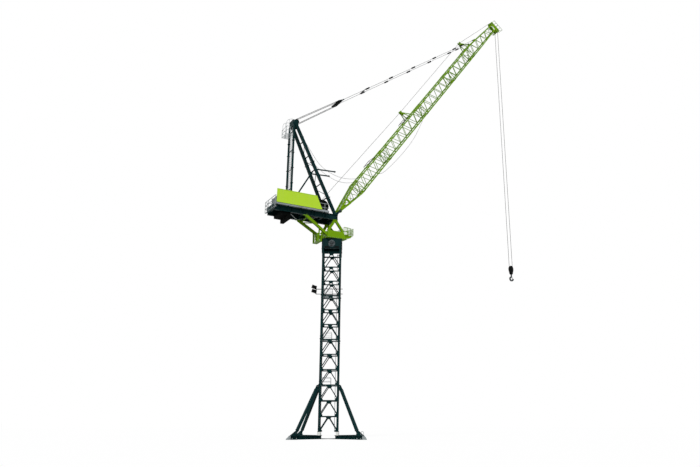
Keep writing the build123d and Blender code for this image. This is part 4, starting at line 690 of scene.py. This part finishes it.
def mast_details():
    flanges, bolts, floors, guards = Shape(), Shape(), Shape(), Shape()
    along, across = MAST_AXES[:2]
    for level in range(SECTIONS + 1):
        z = MAST_BASE_Z + level * SECTION_HEIGHT
        # A splice has a flange above and below; the mast's two ends have one
        ways = [way for way in SIDES if 0 <= level + min(way, 0) < SECTIONS]
        for x, y in [(a * CHORD_CENTRE, b * CHORD_CENTRE) for a, b in CORNERS]:
            for way in ways:
                brick(flanges, on_mast(x, y, z + way * 0.013), (0.165, 0.165, 0.022), MAST_AXES)
                brick(flanges, on_mast(x, y, z + way * 0.17), (0.128, 0.128, 0.05), MAST_AXES)
                for a, b in CORNERS:
                    bolt(bolts, on_mast(x + a * 0.067, y + b * 0.067, z + way * 0.024), UP * way, 0.008)
    # Rest floors with a hatch at the front edge, and a guard rail round it
    reach, half, hatch_x, hatch_y, rail_z = 0.5425, 0.5075, 0.122, 0.21, 0.46
    posts = ((0.1, -0.46), (-0.46, -0.46), (-0.46, 0.3), (0.1, 0.3))
    for section in range(1, SECTIONS):
        z = MAST_BASE_Z + section * SECTION_HEIGHT - 0.025
        grating(floors, on_mast(-reach, -half, z), along, across, hatch_x + reach, 2 * half)
        for y in (-half, hatch_y):
            grating(floors, on_mast(hatch_x + 0.009, y, z), along, across, reach - hatch_x, half - hatch_y)
        for rise in (0.22, rail_z):
            pipe(guards, [on_mast(x, y, z + rise) for x, y in posts], 0.012)
        for x, y in posts:
            pipe(guards, [on_mast(x, y, z), on_mast(x, y, z + rail_z)], 0.012)
    piece("rest_platform_guards", guards, "mast", "grey_galvanised", round_edges=True)
    piece("mast_splice_flanges", flanges, "mast", "teal_steel")
    piece("mast_splice_bolts", bolts, "mast", "grey_galvanised")
    piece("rest_platform_gratings", floors, "mast", "grey_galvanised", replaces=("mast_rest_platforms",))


def support_details():
    bolts, teeth, strips_and_painted_shade, covers = Shape(), Shape(), Shape(), Shape()
    for k in range(4):
        turn = SPIN @ Matrix.Rotation(math.radians(90 * k), 3, "Z")
        out, aside = turn @ (LEFT * -1), turn @ FORWARD
        # A bolted disc on each face with a black strip across it, ribs at the edges, and a black band low on
        # the wall that is painted shade: it stands for the shadow in a recess below the disc
        axes, wall = (aside, out, UP), out * SUPPORT_HALF
        middle = out * (SUPPORT_HALF + 0.024) + UP * SUPPORT_MIDDLE
        for place in ring(middle, aside, UP, [0.265] * 12):
            bolt(bolts, place, out, 0.011)
        turned(covers, middle, out, [(0, 0.235), (0.006, 0.235), (0.009, 0.22)], 32)
        brick(strips_and_painted_shade, middle + out * 0.008, (0.2, 0.008, 0.055), axes)
        # Painted shade: this black band on the lower wall stands for a shaded recess, not for a part
        brick(strips_and_painted_shade, wall + UP * 12.19 + out * 0.009, (0.97, 0.018, 0.14), axes)
        for shift in (-0.5, 0.5):
            brick(bolts, wall + aside * shift + UP * SUPPORT_MIDDLE + out * 0.008, (0.03, 0.016, 0.69), axes)
        for z in (12.11, 12.775):
            brick(bolts, wall + UP * z + out * 0.012, (1.3, 0.024, 0.03), axes)
    # Teeth drawn coarser than real ones so that they show
    for place in ring(UP * RING_MIDDLE, FORWARD, LEFT, [0.63] * 90):
        out = at(place.x, place.y, 0).normalized()
        brick(teeth, place, (0.026, 0.022, 0.034), (out, UP.cross(out), UP))
    piece("support_disc_covers", covers, "mast", "bearing_steel")
    piece("support_strips_and_painted_shade", strips_and_painted_shade, "mast", "black_steel")
    piece("support_ribs_and_bolts", bolts, "mast", "teal_steel")
    piece("slewing_ring_teeth", teeth, "mast", "bearing_steel")


def lamp_details():
    """Hoods, fins and arms of the two floodlights on the mast."""
    hoods, glass = Shape(), Shape()
    arm_end, y = -0.9525, -CHORD_CENTRE
    axes = [SPIN @ Matrix.Rotation(math.radians(20), 3, "Y") @ axis for axis in LEVEL]
    for shift in SIDES:
        centre = on_mast(arm_end - 0.135, y, LAMP_Z + shift * 0.14)
        brick(hoods, centre, (0.31, 0.16, 0.2), axes)
        for k in range(7):
            brick(hoods, centre + axes[0] * (-0.135 + k * 0.045), (0.012, 0.2, 0.215), axes)
        brick(glass, centre - axes[2] * 0.1065, (0.27, 0.12, 0.006), axes)
    for z in (LAMP_Z, 9.02):
        stick(hoods, on_mast(arm_end, y, z), on_mast(0.78, y - 0.075, z), 0.035, 0.035)
    stick(hoods, on_mast(arm_end, y, 9.0), on_mast(arm_end, y, 9.57), 0.038, 0.038)
    piece("lamp_hoods", hoods, "mast", "black_steel")
    piece("lamp_glass", glass, "mast", "pale_shoe")


# Upperworks
def turret_details():
    plates, bolts, nets = Shape(), Shape(), Shape()
    for k in range(4):
        turn = Matrix.Rotation(math.radians(90 * k), 3, "Z")
        out, aside = turn @ FORWARD, turn @ LEFT
        edge = out * SLEW_HALF + UP * (SLEW_Z + 0.02)
        brick(plates, edge + out * 0.008, (0.016, 2 * SLEW_HALF, 0.036), (out, aside, UP))
        for step in range(-4, 5):
            bolt(bolts, edge + out * 0.016 + aside * (step * 0.15), out, 0.008)
    for side in SIDES:
        for x in (0.49, -0.48):
            foot = at(x, side * 0.497, SLEW_TOP_Z + 0.01)
            brick(plates, foot, (0.19, 0.15, 0.02))
            for a, b in CORNERS:
                bolt(bolts, foot + at(a * 0.075, b * 0.055, 0.01), UP, 0.008)
        # Shoes under the girder, and side plates that box in the legs and the rear prop
        apex, shoe = [at(x, side * GIRDER_Y, DECK_BOTTOM) for x in (APEX_X, PROP_X)]
        brick(plates, apex - UP * 0.012, (0.34, 0.17, 0.024))
        brick(plates, shoe - UP * 0.012, (0.36, 0.16, 0.024))
        for low, high, half, depth in (
                (at(-0.52, side * 0.47, 12.99), shoe, 0.066, 0.17),
                (at(0.56, side * 0.49, SLEW_TOP_Z), apex, 0.06, 0.165),
                (at(-0.55, side * 0.49, SLEW_TOP_Z), apex, 0.06, 0.165)):
            for way in SIDES:
                stick(plates, low + LEFT * (way * half), high + LEFT * (way * half), 0.012, depth, LEFT)
        bracket = ((0.6, 13.2), (0.6, 12.9), (0.78, 12.92), (1.38, 13.2))
        wedge(plates, [at(x, side * 0.4 - 0.01, z) for x, z in bracket], LEFT * 0.02)
        for x, z in ((-1.2, 13.42), (-1.0, 13.29)):
            stick(plates, at(x, side * 0.36, 12.53), at(x, side * 0.5, z), 0.085, 0.06, FORWARD)
    # Mesh on three sides of the front platform and of the rear landing
    for start, length, end, half, z, height in (
            (0.6, 0.78, 1.387, 0.437, 13.26, 0.48), (-1.27, 0.3, -1.264, 0.367, 12.6, 0.49)):
        for side in SIDES:
            mesh_infill(nets, at(start, side * half, z), FORWARD, UP, length, height)
        mesh_infill(nets, at(end, -half, z), LEFT, UP, 2 * half, height)
    piece("turret_platform_mesh", nets, "upperworks", "green_steel")
    piece("turret_plates", plates, "upperworks", "green_steel")
    piece("turret_bolts", bolts, "upperworks", "grey_galvanised")


def deck_details():
    ribs, floors, hangers, nets, braces = Shape(), Shape(), Shape(), Shape(), Shape()
    length, gap = WALKWAY_FRONT - GIRDER_REAR, 0.006
    for side in SIDES:
        for step in range(6):
            for way in SIDES:
                x, y = GIRDER_REAR + 0.35 + step * 0.81, side * GIRDER_Y + way * 0.047
                brick(ribs, at(x, y, (DECK_BOTTOM + DECK_TOP) / 2), (0.012, 0.066, 0.307))
        # Grating, toe board and hangers of the walkway
        corner = at(GIRDER_REAR, GIRDER_OUTER + gap if side > 0 else -WALKWAY_OUTER, DECK_TOP)
        grating(floors, corner, FORWARD, LEFT, length, WALKWAY_OUTER - GIRDER_OUTER - gap, 0.032)
        board = at(GIRDER_REAR + length / 2, side * (WALKWAY_OUTER - 0.014), DECK_TOP + 0.058)
        brick(floors, board, (length, 0.008, 0.11))
        for k in range(5):
            x, inner, outer = GIRDER_REAR + 0.026 + k * 0.85, side * GIRDER_OUTER, side * WALKWAY_OUTER
            face, arm_z = inner + side * 0.01, DECK_TOP - 0.03
            brick(hangers, at(x, face, 14.28), (0.032, 0.02, 0.36))
            stick(hangers, at(x, face, 14.29), at(x, outer - side * 0.013, arm_z + 0.01), 0.026, 0.026)
            stick(hangers, at(x, inner, arm_z), at(x, outer, arm_z), 0.03, 0.02)
    # Mesh behind the rear balcony's rails, a plate across its end, and pale bracing under the deck
    mesh_infill(nets, at(-4.44, -0.9, 14.5), LEFT, UP, 0.85, 0.48, 0.04, 0.012)
    brick(ribs, at(-4.54, -0.1, 14.34), (0.016, 1.2, 0.34))
    brace_z = DECK_BOTTOM - 0.012
    for rear, front, y in ((-3.4, -2.42, 0.56), (-2.38, -1.4, -0.56)):
        for shift in (-0.025, 0.025):
            stick(braces, at(rear + shift, -y, brace_z), at(front + shift, y, brace_z), 0.022, 0.02)
    piece("rear_mesh", nets, "upperworks", "grey_galvanised")
    piece("under_deck_bracing", braces, "upperworks", "grey_galvanised")
    piece("girder_ribs", ribs, "upperworks", "teal_steel")
    piece("walkway_gratings_and_toe_boards", floors, "upperworks", "grey_galvanised", replaces=("walkways",))
    piece("walkway_hangers", hangers, "upperworks", "teal_steel", replaces=("walkways",))


def panel_details():
    """A folded lip round the side panel, its rivets, and two joint strips."""
    lip, face_y = Shape(), -0.925
    rear, front, rake, low, high = -4.44, -1.248, 0.392, 14.585, 15.47
    outline = [at(x, face_y - 0.004, z) for x, z in (
        (rear, low), (front, low), (front - rake, high), (rear, high))]
    for a, b in zip(outline, outline[1:] + outline[:1]):
        along = (b - a).normalized()
        stick(lip, a, b, 0.014 if abs(along.z) < 0.1 else 0.017, 0.03, LEFT)
        count = int((b - a).length / 0.21)
        for k in range(1, count):
            place = a + (b - a) * (k / count) + at(-along.z, 0, along.x) * 0.05
            rivet = [(0, 0.009), (0.003, 0.008), (0.005, 0.004)]
            turned(lip, at(place.x, face_y, place.z), LEFT * -1, rivet, 10)
    for x in (-3.4, -2.36):
        brick(lip, at(x, face_y - 0.002, (low + high) / 2), (0.03, 0.004, high - low - 0.02))
    piece("side_panel_lip_and_rivets", lip, "upperworks", "lime_panel")


def winch_details():
    wound, works = Shape(), Shape()
    turns = 22
    pitch = 2 * DRUM_HALF / turns
    windings = [(-DRUM_HALF, DRUM_RADIUS)]
    for k in range(turns):
        windings += [(-DRUM_HALF + pitch * (k + share), DRUM_RADIUS + rise)
                     for share, rise in ((0.15, 0.004), (0.5, 0.0165), (0.85, 0.004))]
    windings.append((DRUM_HALF, DRUM_RADIUS))
    motor = [(0, 0.1)]
    for k in range(6):
        motor += [(0.012 + k * 0.026 + step, radius)
                  for step, radius in ((0, 0.1), (0.004, 0.125), (0.012, 0.125), (0.016, 0.1))]
    motor += [(0.19, 0.1), (0.2, 0.06)]
    rim = both_ways([(0.012, 0.437), (0.012, 0.4)])
    for x in (HOIST_X, LUFF_WINCH_X):
        centre = at(x, 0, WINCH_Z)
        turned(wound, centre, LEFT, windings, 32)
        turned(works, centre + LEFT * 0.465, LEFT, motor, 20)
        for side in SIDES:
            turned(works, centre + LEFT * (side * 0.25), LEFT, rim, 32)
            cover = centre + LEFT * (side * 0.34)
            turned(works, cover, LEFT * side, [(0, 0.13), (0.03, 0.13), (0.045, 0.09), (0.06, 0.09)], 20)
            for place in ring(cover + LEFT * (side * 0.03), FORWARD, UP, [0.105] * 8):
                bolt(works, place, LEFT * side, 0.009)
            for shift in (-0.34, 0.34):
                foot = at(x + shift, side * 0.39, DECK_TOP + 0.01)
                brick(works, foot, (0.16, 0.1, 0.02))
                bolt(works, foot + UP * 0.01, UP, 0.011)
    piece("drum_windings", wound, "upperworks", "wire_rope", round_edges=True)
    piece("winch_works", works, "upperworks", "black_steel")


def pivot_details():
    caps = Shape()
    for side in SIDES:
        for way in SIDES:
            out = LEFT * way
            place = PIVOT + LEFT * (side * JIB_HALF_WIDTH + way * 0.076)
            turned(caps, place, out, [(0, 0.075), (0.012, 0.075), (0.016, 0.06)], 20)
            for screw in ring(place + out * 0.016, FORWARD, UP, [0.04] * 3):
                bolt(caps, screw, out, 0.007)
    piece("foot_pin_caps", caps, "upperworks", "bearing_steel", round_edges=True)


def aframe_details():
    flanges, bolts, rungs, rims, pads = Shape(), Shape(), Shape(), Shape(), Shape()
    groove = both_ways([(0.009, 0.152), (0.014, 0.17), (0.022, 0.168), (0.026, 0.15)])
    for side in SIDES:
        for z in (15.6, 18.05):
            place = front_leg(side, z)
            along = (front_leg(side, z + 1) - place).normalized()
            across = (LEFT - along * LEFT.dot(along)).normalized()
            deep = along.cross(across)
            for way in SIDES:
                brick(flanges, place + along * (way * 0.012), (0.022, 0.25, 0.25), (along, across, deep))
                for a, b in CORNERS + ((0, 1), (0, -1)):
                    bolt(bolts, place + along * (way * 0.023) + (across * a + deep * b) * 0.108,
                         along * way, 0.008)
        brick(flanges, at(LEG_FOOT[0], side * LEG_FOOT[1], DECK_TOP + 0.012), (0.34, 0.16, 0.024))
        for z in (15.15, 16.25, 17.35, 18.45, 19.35):
            for way in SIDES:
                brick(flanges, rear_leg(side, z) + UP * (way * 0.01), (0.165, 0.165, 0.018))
        brick(flanges, rear_leg(side, DECK_TOP + 0.01), (0.2, 0.2, 0.02))
        tip = at(-0.16, side * 0.463, 17.65)
        along = (tip - front_leg(side, 17.55)).normalized()
        turned(pads, tip - along * 0.02, along, [(0, 0.06), (0.02, 0.06), (0.09, 0.05), (0.1, 0.04)])
    for y in LUFF_ROPE_ROWS:
        turned(rims, HEAD_SHEAVE_CENTRE + LEFT * y, LEFT, groove, 28)
    half = LEFT * 0.13
    for k in range(38):
        middle = rear_leg(0, DECK_TOP + 0.25 + k * 0.15)
        pipe(rungs, [middle - half, middle + half], 0.011)
    for side in SIDES:
        pipe(rungs, [rear_leg(0, DECK_TOP) + half * side, rear_leg(0, 20.45) + half * side], 0.015)
    piece("aframe_flanges", flanges, "upperworks", "teal_steel")
    piece("aframe_flange_bolts", bolts, "upperworks", "grey_galvanised")
    piece("aframe_ladder", rungs, "upperworks", "grey_galvanised", round_edges=True)
    piece("backstop_pads", pads, "upperworks", "cable_rubber", round_edges=True)
    piece("head_sheave_rims", rims, "upperworks", "black_steel", round_edges=True)


def head_platform_details():
    """Floor and rails of the platform behind the A-frame's head."""
    rails, tube = Shape(), 0.013
    floor_z, rail_z, rear, front, half = 19.74, 20.29, -3.804, -3.315, 0.45
    grating(rails, at(rear, -half, floor_z), FORWARD, LEFT, front - rear, 2 * half, 0.06, 0.014)
    rail_x, rail_y, rail_end = rear + tube, half - tube, rear + 0.28
    bend = ((rail_end, -rail_y), (rail_x, -rail_y), (rail_x, rail_y), (rail_end, rail_y))
    for z in (floor_z + 0.275 - tube, rail_z - tube):
        pipe(rails, [at(x, y, z) for x, y in bend], tube)
    for side in SIDES:
        for x in (rail_x, rear + 0.272):
            pipe(rails, [at(x, side * rail_y, z) for z in (floor_z - 0.02, rail_z)], tube)
        # The arched hand rail that goes over to the A-frame's head
        arch = ((-3.77, floor_z), (-3.78, 20.6), (-3.72, 20.76), (-3.59, 20.86), (-3.4, 20.93), (-3.28, 20.9),
                (-3.24, 20.8))
        stay = ((-3.6, floor_z), arch[3])
        for line, radius in ((arch, 0.012), (stay, 0.011)):
            pipe(rails, [at(x, side * 0.34, z) for x, z in line], radius)
    piece("aframe_platform_grating_and_rails", rails, "upperworks", "grey_galvanised",
          replaces=("aframe_platform",))


# Jib
def jib_details():
    sleeves, pins, rungs, rests, frames = Shape(), Shape(), Shape(), Shape(), Shape()
    width, depth, sleeve = JIB_HALF_WIDTH, JIB_HALF_DEPTH, 0.104
    for start, end in ((2.45, 2.75), (5.8, 6.7), (11.2, 12.7), (16.4, 17.0), (20.1, 20.4)):
        middle = (start + end) / 2
        for y in (-width, width):
            brick(sleeves, on_jib(middle, depth, y), (end - start, sleeve, sleeve), JIB_AXES)
            brick(sleeves, on_jib(middle, -depth, y), (0.24, 0.1, 0.1), JIB_AXES)
            for u in (start + 0.08, end - 0.08):
                pin(pins, on_jib(u, depth, y), LEFT, 0.022, 0.074)
            for u in (middle - 0.07, middle + 0.07):
                pin(pins, on_jib(u, -depth, y), LEFT, 0.022, 0.072)
        # Cross frames at the joint: two rectangles with a diagonal each
        for u, way in ((middle - 0.12, 1), (middle + 0.12, -1)):
            for w in (-depth, depth):
                stick(frames, *across_jib(u, w, width), 0.033, 0.033)
            for y in (-width, width):
                stick(frames, on_jib(u, -depth, y), on_jib(u, depth, y), 0.036, 0.03, LEFT)
            right, left = on_jib(u, -depth * way, -width), on_jib(u, depth * way, width)
            stick(frames, right, left, 0.025, 0.025, JIB_ALONG)
    top = upper_chord(FOOT_FRAME_U)
    for y in (-width, width):
        for u in (7.9, 18.05):
            brick(sleeves, on_jib(u, depth, y), (0.16, sleeve, sleeve), JIB_AXES)
        # Heavy triangle where each side comes down to its foot
        upper, lower = on_jib(FOOT_FRAME_U, top, y), on_jib(FOOT_FRAME_U, -top, y)
        stick(sleeves, on_jib(0.16, 0.02, y), upper, 0.1, 0.1, LEFT)
        stick(sleeves, on_jib(0.16, -0.02, y), lower, sleeve, 0.14, LEFT)
        stick(sleeves, lower, upper, 0.108, 0.11, LEFT)
    for k in range(22):
        u = 0.2 + k * 0.105
        stick(rungs, *across_jib(u, upper_chord(u), 0.37), 0.062, 0.02, JIB_ALONG)
    low, high, rest_half = depth + 0.03, depth + 0.15, 0.38
    for start, end in ((4.5, 5.3), (9.6, 10.4)):
        for y in (-rest_half, rest_half):
            hoop = ((start, low), (start + 0.05, high), (end - 0.05, high), (end, low))
            pipe(rests, [on_jib(u, w, y) for u, w in hoop], 0.02)
        for u in (start + 0.06, end - 0.06):
            pipe(rests, across_jib(u, high, rest_half), 0.016)
    piece("jib_cross_frames", frames, "jib", "green_steel")
    piece("jib_splice_sleeves", sleeves, "jib", "green_steel")
    piece("jib_splice_pins", pins, "jib", "bearing_steel", round_edges=True)
    piece("jib_foot_rungs", rungs, "jib", "green_steel", round_edges=True)
    piece("pendant_rests", rests, "jib", "black_steel", round_edges=True)


def jib_head_details():
    guard, rims, pins = Shape(), Shape(), Shape()
    root_u, half, root_half = TIP_U + 0.08, 0.2, 0.17
    keeper_u, keeper_w, keeper_half = 24.56, -0.7, 0.12
    # A rail guard in front of the head, and its cheek plates
    for side in SIDES:
        y, root = side * half, side * root_half
        pipe(guard, [on_jib(root_u, 0.2, root), on_jib(GUARD_U, 0.14, y), on_jib(GUARD_U, -0.97, y),
                     on_jib(root_u, -0.74, root)], 0.016)
        pipe(guard, [on_jib(root_u, -0.27, root), on_jib(GUARD_U, -0.4, y)], 0.014)
        cheek = ((24.9, TIP_TOP_W - 0.1), (25.0, TIP_TOP_W + 0.004), (25.16, TIP_TOP_W + 0.004),
                 (25.22, TIP_TOP_W - 0.1), (25.22, TIP_LOW_W + 0.02), (25.0, TIP_LOW_W - 0.02),
                 (24.86, TIP_LOW_W + 0.1))
        wedge(guard, [on_jib(u, w, side * 0.19 - 0.008) for u, w in cheek], LEFT * 0.016)
        # The rope keeper behind the head, the lug's pin, and the disc of the foot's eye
        brick(guard, on_jib(24.72, -0.56, side * 0.17), (0.05, 0.03, 0.27), JIB_AXES)
        pipe(guard, [on_jib(24.5, -0.46, side * 0.19), on_jib(keeper_u, keeper_w, side * keeper_half)], 0.02)
        pin(pins, lug_pin(side * 0.38), LEFT, 0.032, 0.06)
        turned(rims, on_jib(0, 0, side * JIB_HALF_WIDTH - 0.042), LEFT, [(0, 0.095), (0.084, 0.095)], 24)
    pipe(guard, across_jib(keeper_u, keeper_w, keeper_half), 0.03)
    for w in (0.14, -0.13, -0.4, -0.68, -0.97):
        pipe(guard, across_jib(GUARD_U, w, half), 0.014)
    for w in (TIP_LOW_W + TIP_SHEAVE, TIP_TOP_W - TIP_SHEAVE):
        pin(pins, on_jib(TIP_U, w), LEFT, 0.045, 0.215)
    # Heads of the two rope posts
    for u in POSTS_U:
        centre = on_jib(u - POST_LEAN, POST_HEAD_W)
        pin(pins, centre, LEFT, 0.022, 0.11)
        brick(guard, centre - JIB_OUT * 0.16, (0.12, 0.2, 0.16), JIB_AXES)
        for side in SIDES:
            turned(guard, centre + LEFT * (side * 0.06), LEFT * side, [(0, 0.065), (0.012, 0.065)], 20)
            brick(guard, centre + JIB_OUT * 0.02 + LEFT * (side * 0.095), (0.15, 0.02, 0.24), JIB_AXES)
    piece("head_guard", guard, "jib", "green_steel", round_edges=True)
    piece("tip_sheave_rims", rims, "jib", "black_steel", round_edges=True)
    piece("head_and_lug_pins", pins, "jib", "bearing_steel", round_edges=True)


def pendant_details():
    block, along, across = luffing_line()
    axes = (along, LEFT, across)
    pins, rims, plates = Shape(), Shape(), Shape()
    reach, half_link = 0.32, 0.165
    run = (lug_pin() - block).length - reach
    links = max(1, round(run / 2.5))
    pitch = (run - half_link / 2) / links
    for side in SIDES:
        rod = block + LEFT * (side * PENDANT_Y)
        for k in range(links + 1):
            place = rod + along * (reach + pitch * k)
            if 0 < k < links:
                for way in (-0.031, 0.031):
                    brick(plates, place + LEFT * way, (0.38, 0.014, 0.1), axes)
            for way in (-0.11, 0.11):
                pin(pins, place + along * way, LEFT, 0.02, 0.045)
        brick(plates, rod + along * LAST_LINK, (0.38, 0.07, 0.1), axes)
        # Cover and bolts on the luffing block's side
        face = block + LEFT * (side * 0.34)
        turned(rims, face, LEFT * side, [(0, 0.06), (0.016, 0.06), (0.022, 0.045)], 18)
        for u in (-0.24, -0.12, 0.12, 0.24):
            bolt(rims, face + along * u, LEFT * side, 0.008)
        brick(rims, block + along * (side * 0.3), (0.03, 0.66, 0.06), axes)
    spread = block + along * (reach + pitch - 0.3)
    stick(plates, spread - LEFT * PENDANT_Y, spread + LEFT * PENDANT_Y, 0.06, 0.06, along)
    groove = [(-0.018, 0.09), (-0.016, 0.13), (-0.01, 0.132), (0, 0.108), (0.01, 0.132), (0.016, 0.13),
              (0.018, 0.09)]
    for y in LUFF_ROPE_ROWS:
        turned(rims, block + LEFT * y, LEFT, groove, 24)
    piece("pendant_links", plates, "jib", "black_steel")
    piece("pendant_pins", pins, "jib", "bearing_steel", round_edges=True)
    piece("luffing_block_rims", rims, "jib", "black_steel", round_edges=True)


# Hook
def hook_details():
    works, catch = Shape(), Shape()
    middle = hook_block_middle()
    for side in SIDES:
        face = middle + LEFT * (side * 0.08)
        turned(works, face, LEFT * side, [(0, 0.07), (0.014, 0.07), (0.02, 0.05)], 20)
        for x, z in ((0.13, 0.12), (0.07, 0.29), (0.07, -0.29)):
            for way in SIDES:
                bolt(works, face + at(way * x, 0, z), LEFT * side, 0.009)
    groove = both_ways([(0.009, 0.152), (0.02, 0.176), (0.034, 0.172), (0.036, 0.13)])
    turned(works, middle, LEFT, groove, 28)
    piece("hook_block_works", works, "hook_block", "black_steel", round_edges=True)

    foot = middle - UP * (HOOK_BLOCK_HEIGHT / 2)
    turned(catch, foot - UP * 0.06, UP, [(0, 0.072), (0.045, 0.072), (0.05, 0.06)], 6)
    eye = foot - UP * 0.3705
    stick(catch, eye + at(0.03, 0, 0.13), eye + at(0.16, 0, -0.03), 0.05, 0.012, LEFT)
    pin(catch, eye + at(0.03, 0, 0.135), LEFT, 0.014, 0.05)
    piece("hook_catch", catch, "hook", "bearing_steel", round_edges=True)


# Stage: a plain white floor and sky, one soft key light
WHITE = linear("#FFFFFF")


def background(tree, lit):
    """White where the camera or a reflection looks, and the given strength elsewhere."""
    path = add(tree, "LightPath")
    seen = add(tree, "Math", {
        0: path.outputs["Is Camera Ray"], 1: path.outputs["Is Glossy Ray"]}, operation="MAXIMUM")
    through = add(tree, "Math", {0: seen, 1: path.outputs["Is Transmission Ray"]}, operation="MAXIMUM")
    return add(tree, "MapRange", {"Value": through, "To Min": lit, "To Max": 1.0})


def stage():
    bpy.ops.mesh.primitive_plane_add(size=400.0, location=(0, 0, -0.002))
    floor = bpy.context.object
    floor.name = "floor"
    material, tree, _ = blank("white_floor")
    seen = background(tree, 0.0)
    # White to the eye, darker to the light that would bounce up under the crane
    tone = add(tree, "Mix", {"Factor": seen, "A": linear("#B4B4B2"), "B": WHITE}, data_type="RGBA")
    shadowed = add(tree, "BsdfDiffuse", {"Color": tone})
    glow = add(tree, "Emission", {"Color": WHITE, "Strength": 1.0})
    share = add(tree, "Math", {0: seen, 1: 0.88}, operation="MULTIPLY")
    mix = add(tree, "MixShader", {0: share, 1: shadowed, 2: glow})
    add(tree, "OutputMaterial", {"Surface": mix})
    floor.data.materials.append(material)

    world = bpy.data.worlds.new("white_sky")
    bpy.context.scene.world = world
    world.use_nodes = True
    tree = world.node_tree
    tree.nodes.clear()
    strength = background(tree, 0.5)
    sky = add(tree, "Background", {"Color": WHITE, "Strength": strength})
    add(tree, "OutputWorld", {"Surface": sky})

    sun = bpy.data.lights.new("soft_key", "SUN")
    sun.energy = 2.1
    sun.angle = math.radians(12)
    lamp = bpy.data.objects.new("soft_key", sun)
    lamp.rotation_euler = (math.radians(45), 0, math.radians(-38))
    bpy.context.scene.collection.objects.link(lamp)


def camera():
    data = bpy.data.cameras.new("photo_camera")
    data.sensor_width = SENSOR_MM
    data.lens = FOCAL_PX / PHOTO_WIDTH_PX * SENSOR_MM
    data.shift_x = (PHOTO_WIDTH_PX / 2 - CENTRE_X_PX) / PHOTO_WIDTH_PX
    data.clip_end = 500.0
    eye = bpy.data.objects.new("photo_camera", data)
    eye.location = CAMERA_PLACE
    eye.rotation_euler = (math.radians(90 + CAMERA_PITCH), 0, math.radians(CAMERA_TURN))
    bpy.context.scene.collection.objects.link(eye)
    bpy.context.scene.camera = eye
    bpy.context.scene.view_settings.view_transform = "Standard"


camera()
cords()
ropes()
base_details()
mast_details()
support_details()
lamp_details()
turret_details()
deck_details()
panel_details()
winch_details()
pivot_details()
aframe_details()
head_platform_details()
jib_details()
jib_head_details()
pendant_details()
hook_details()
stage()
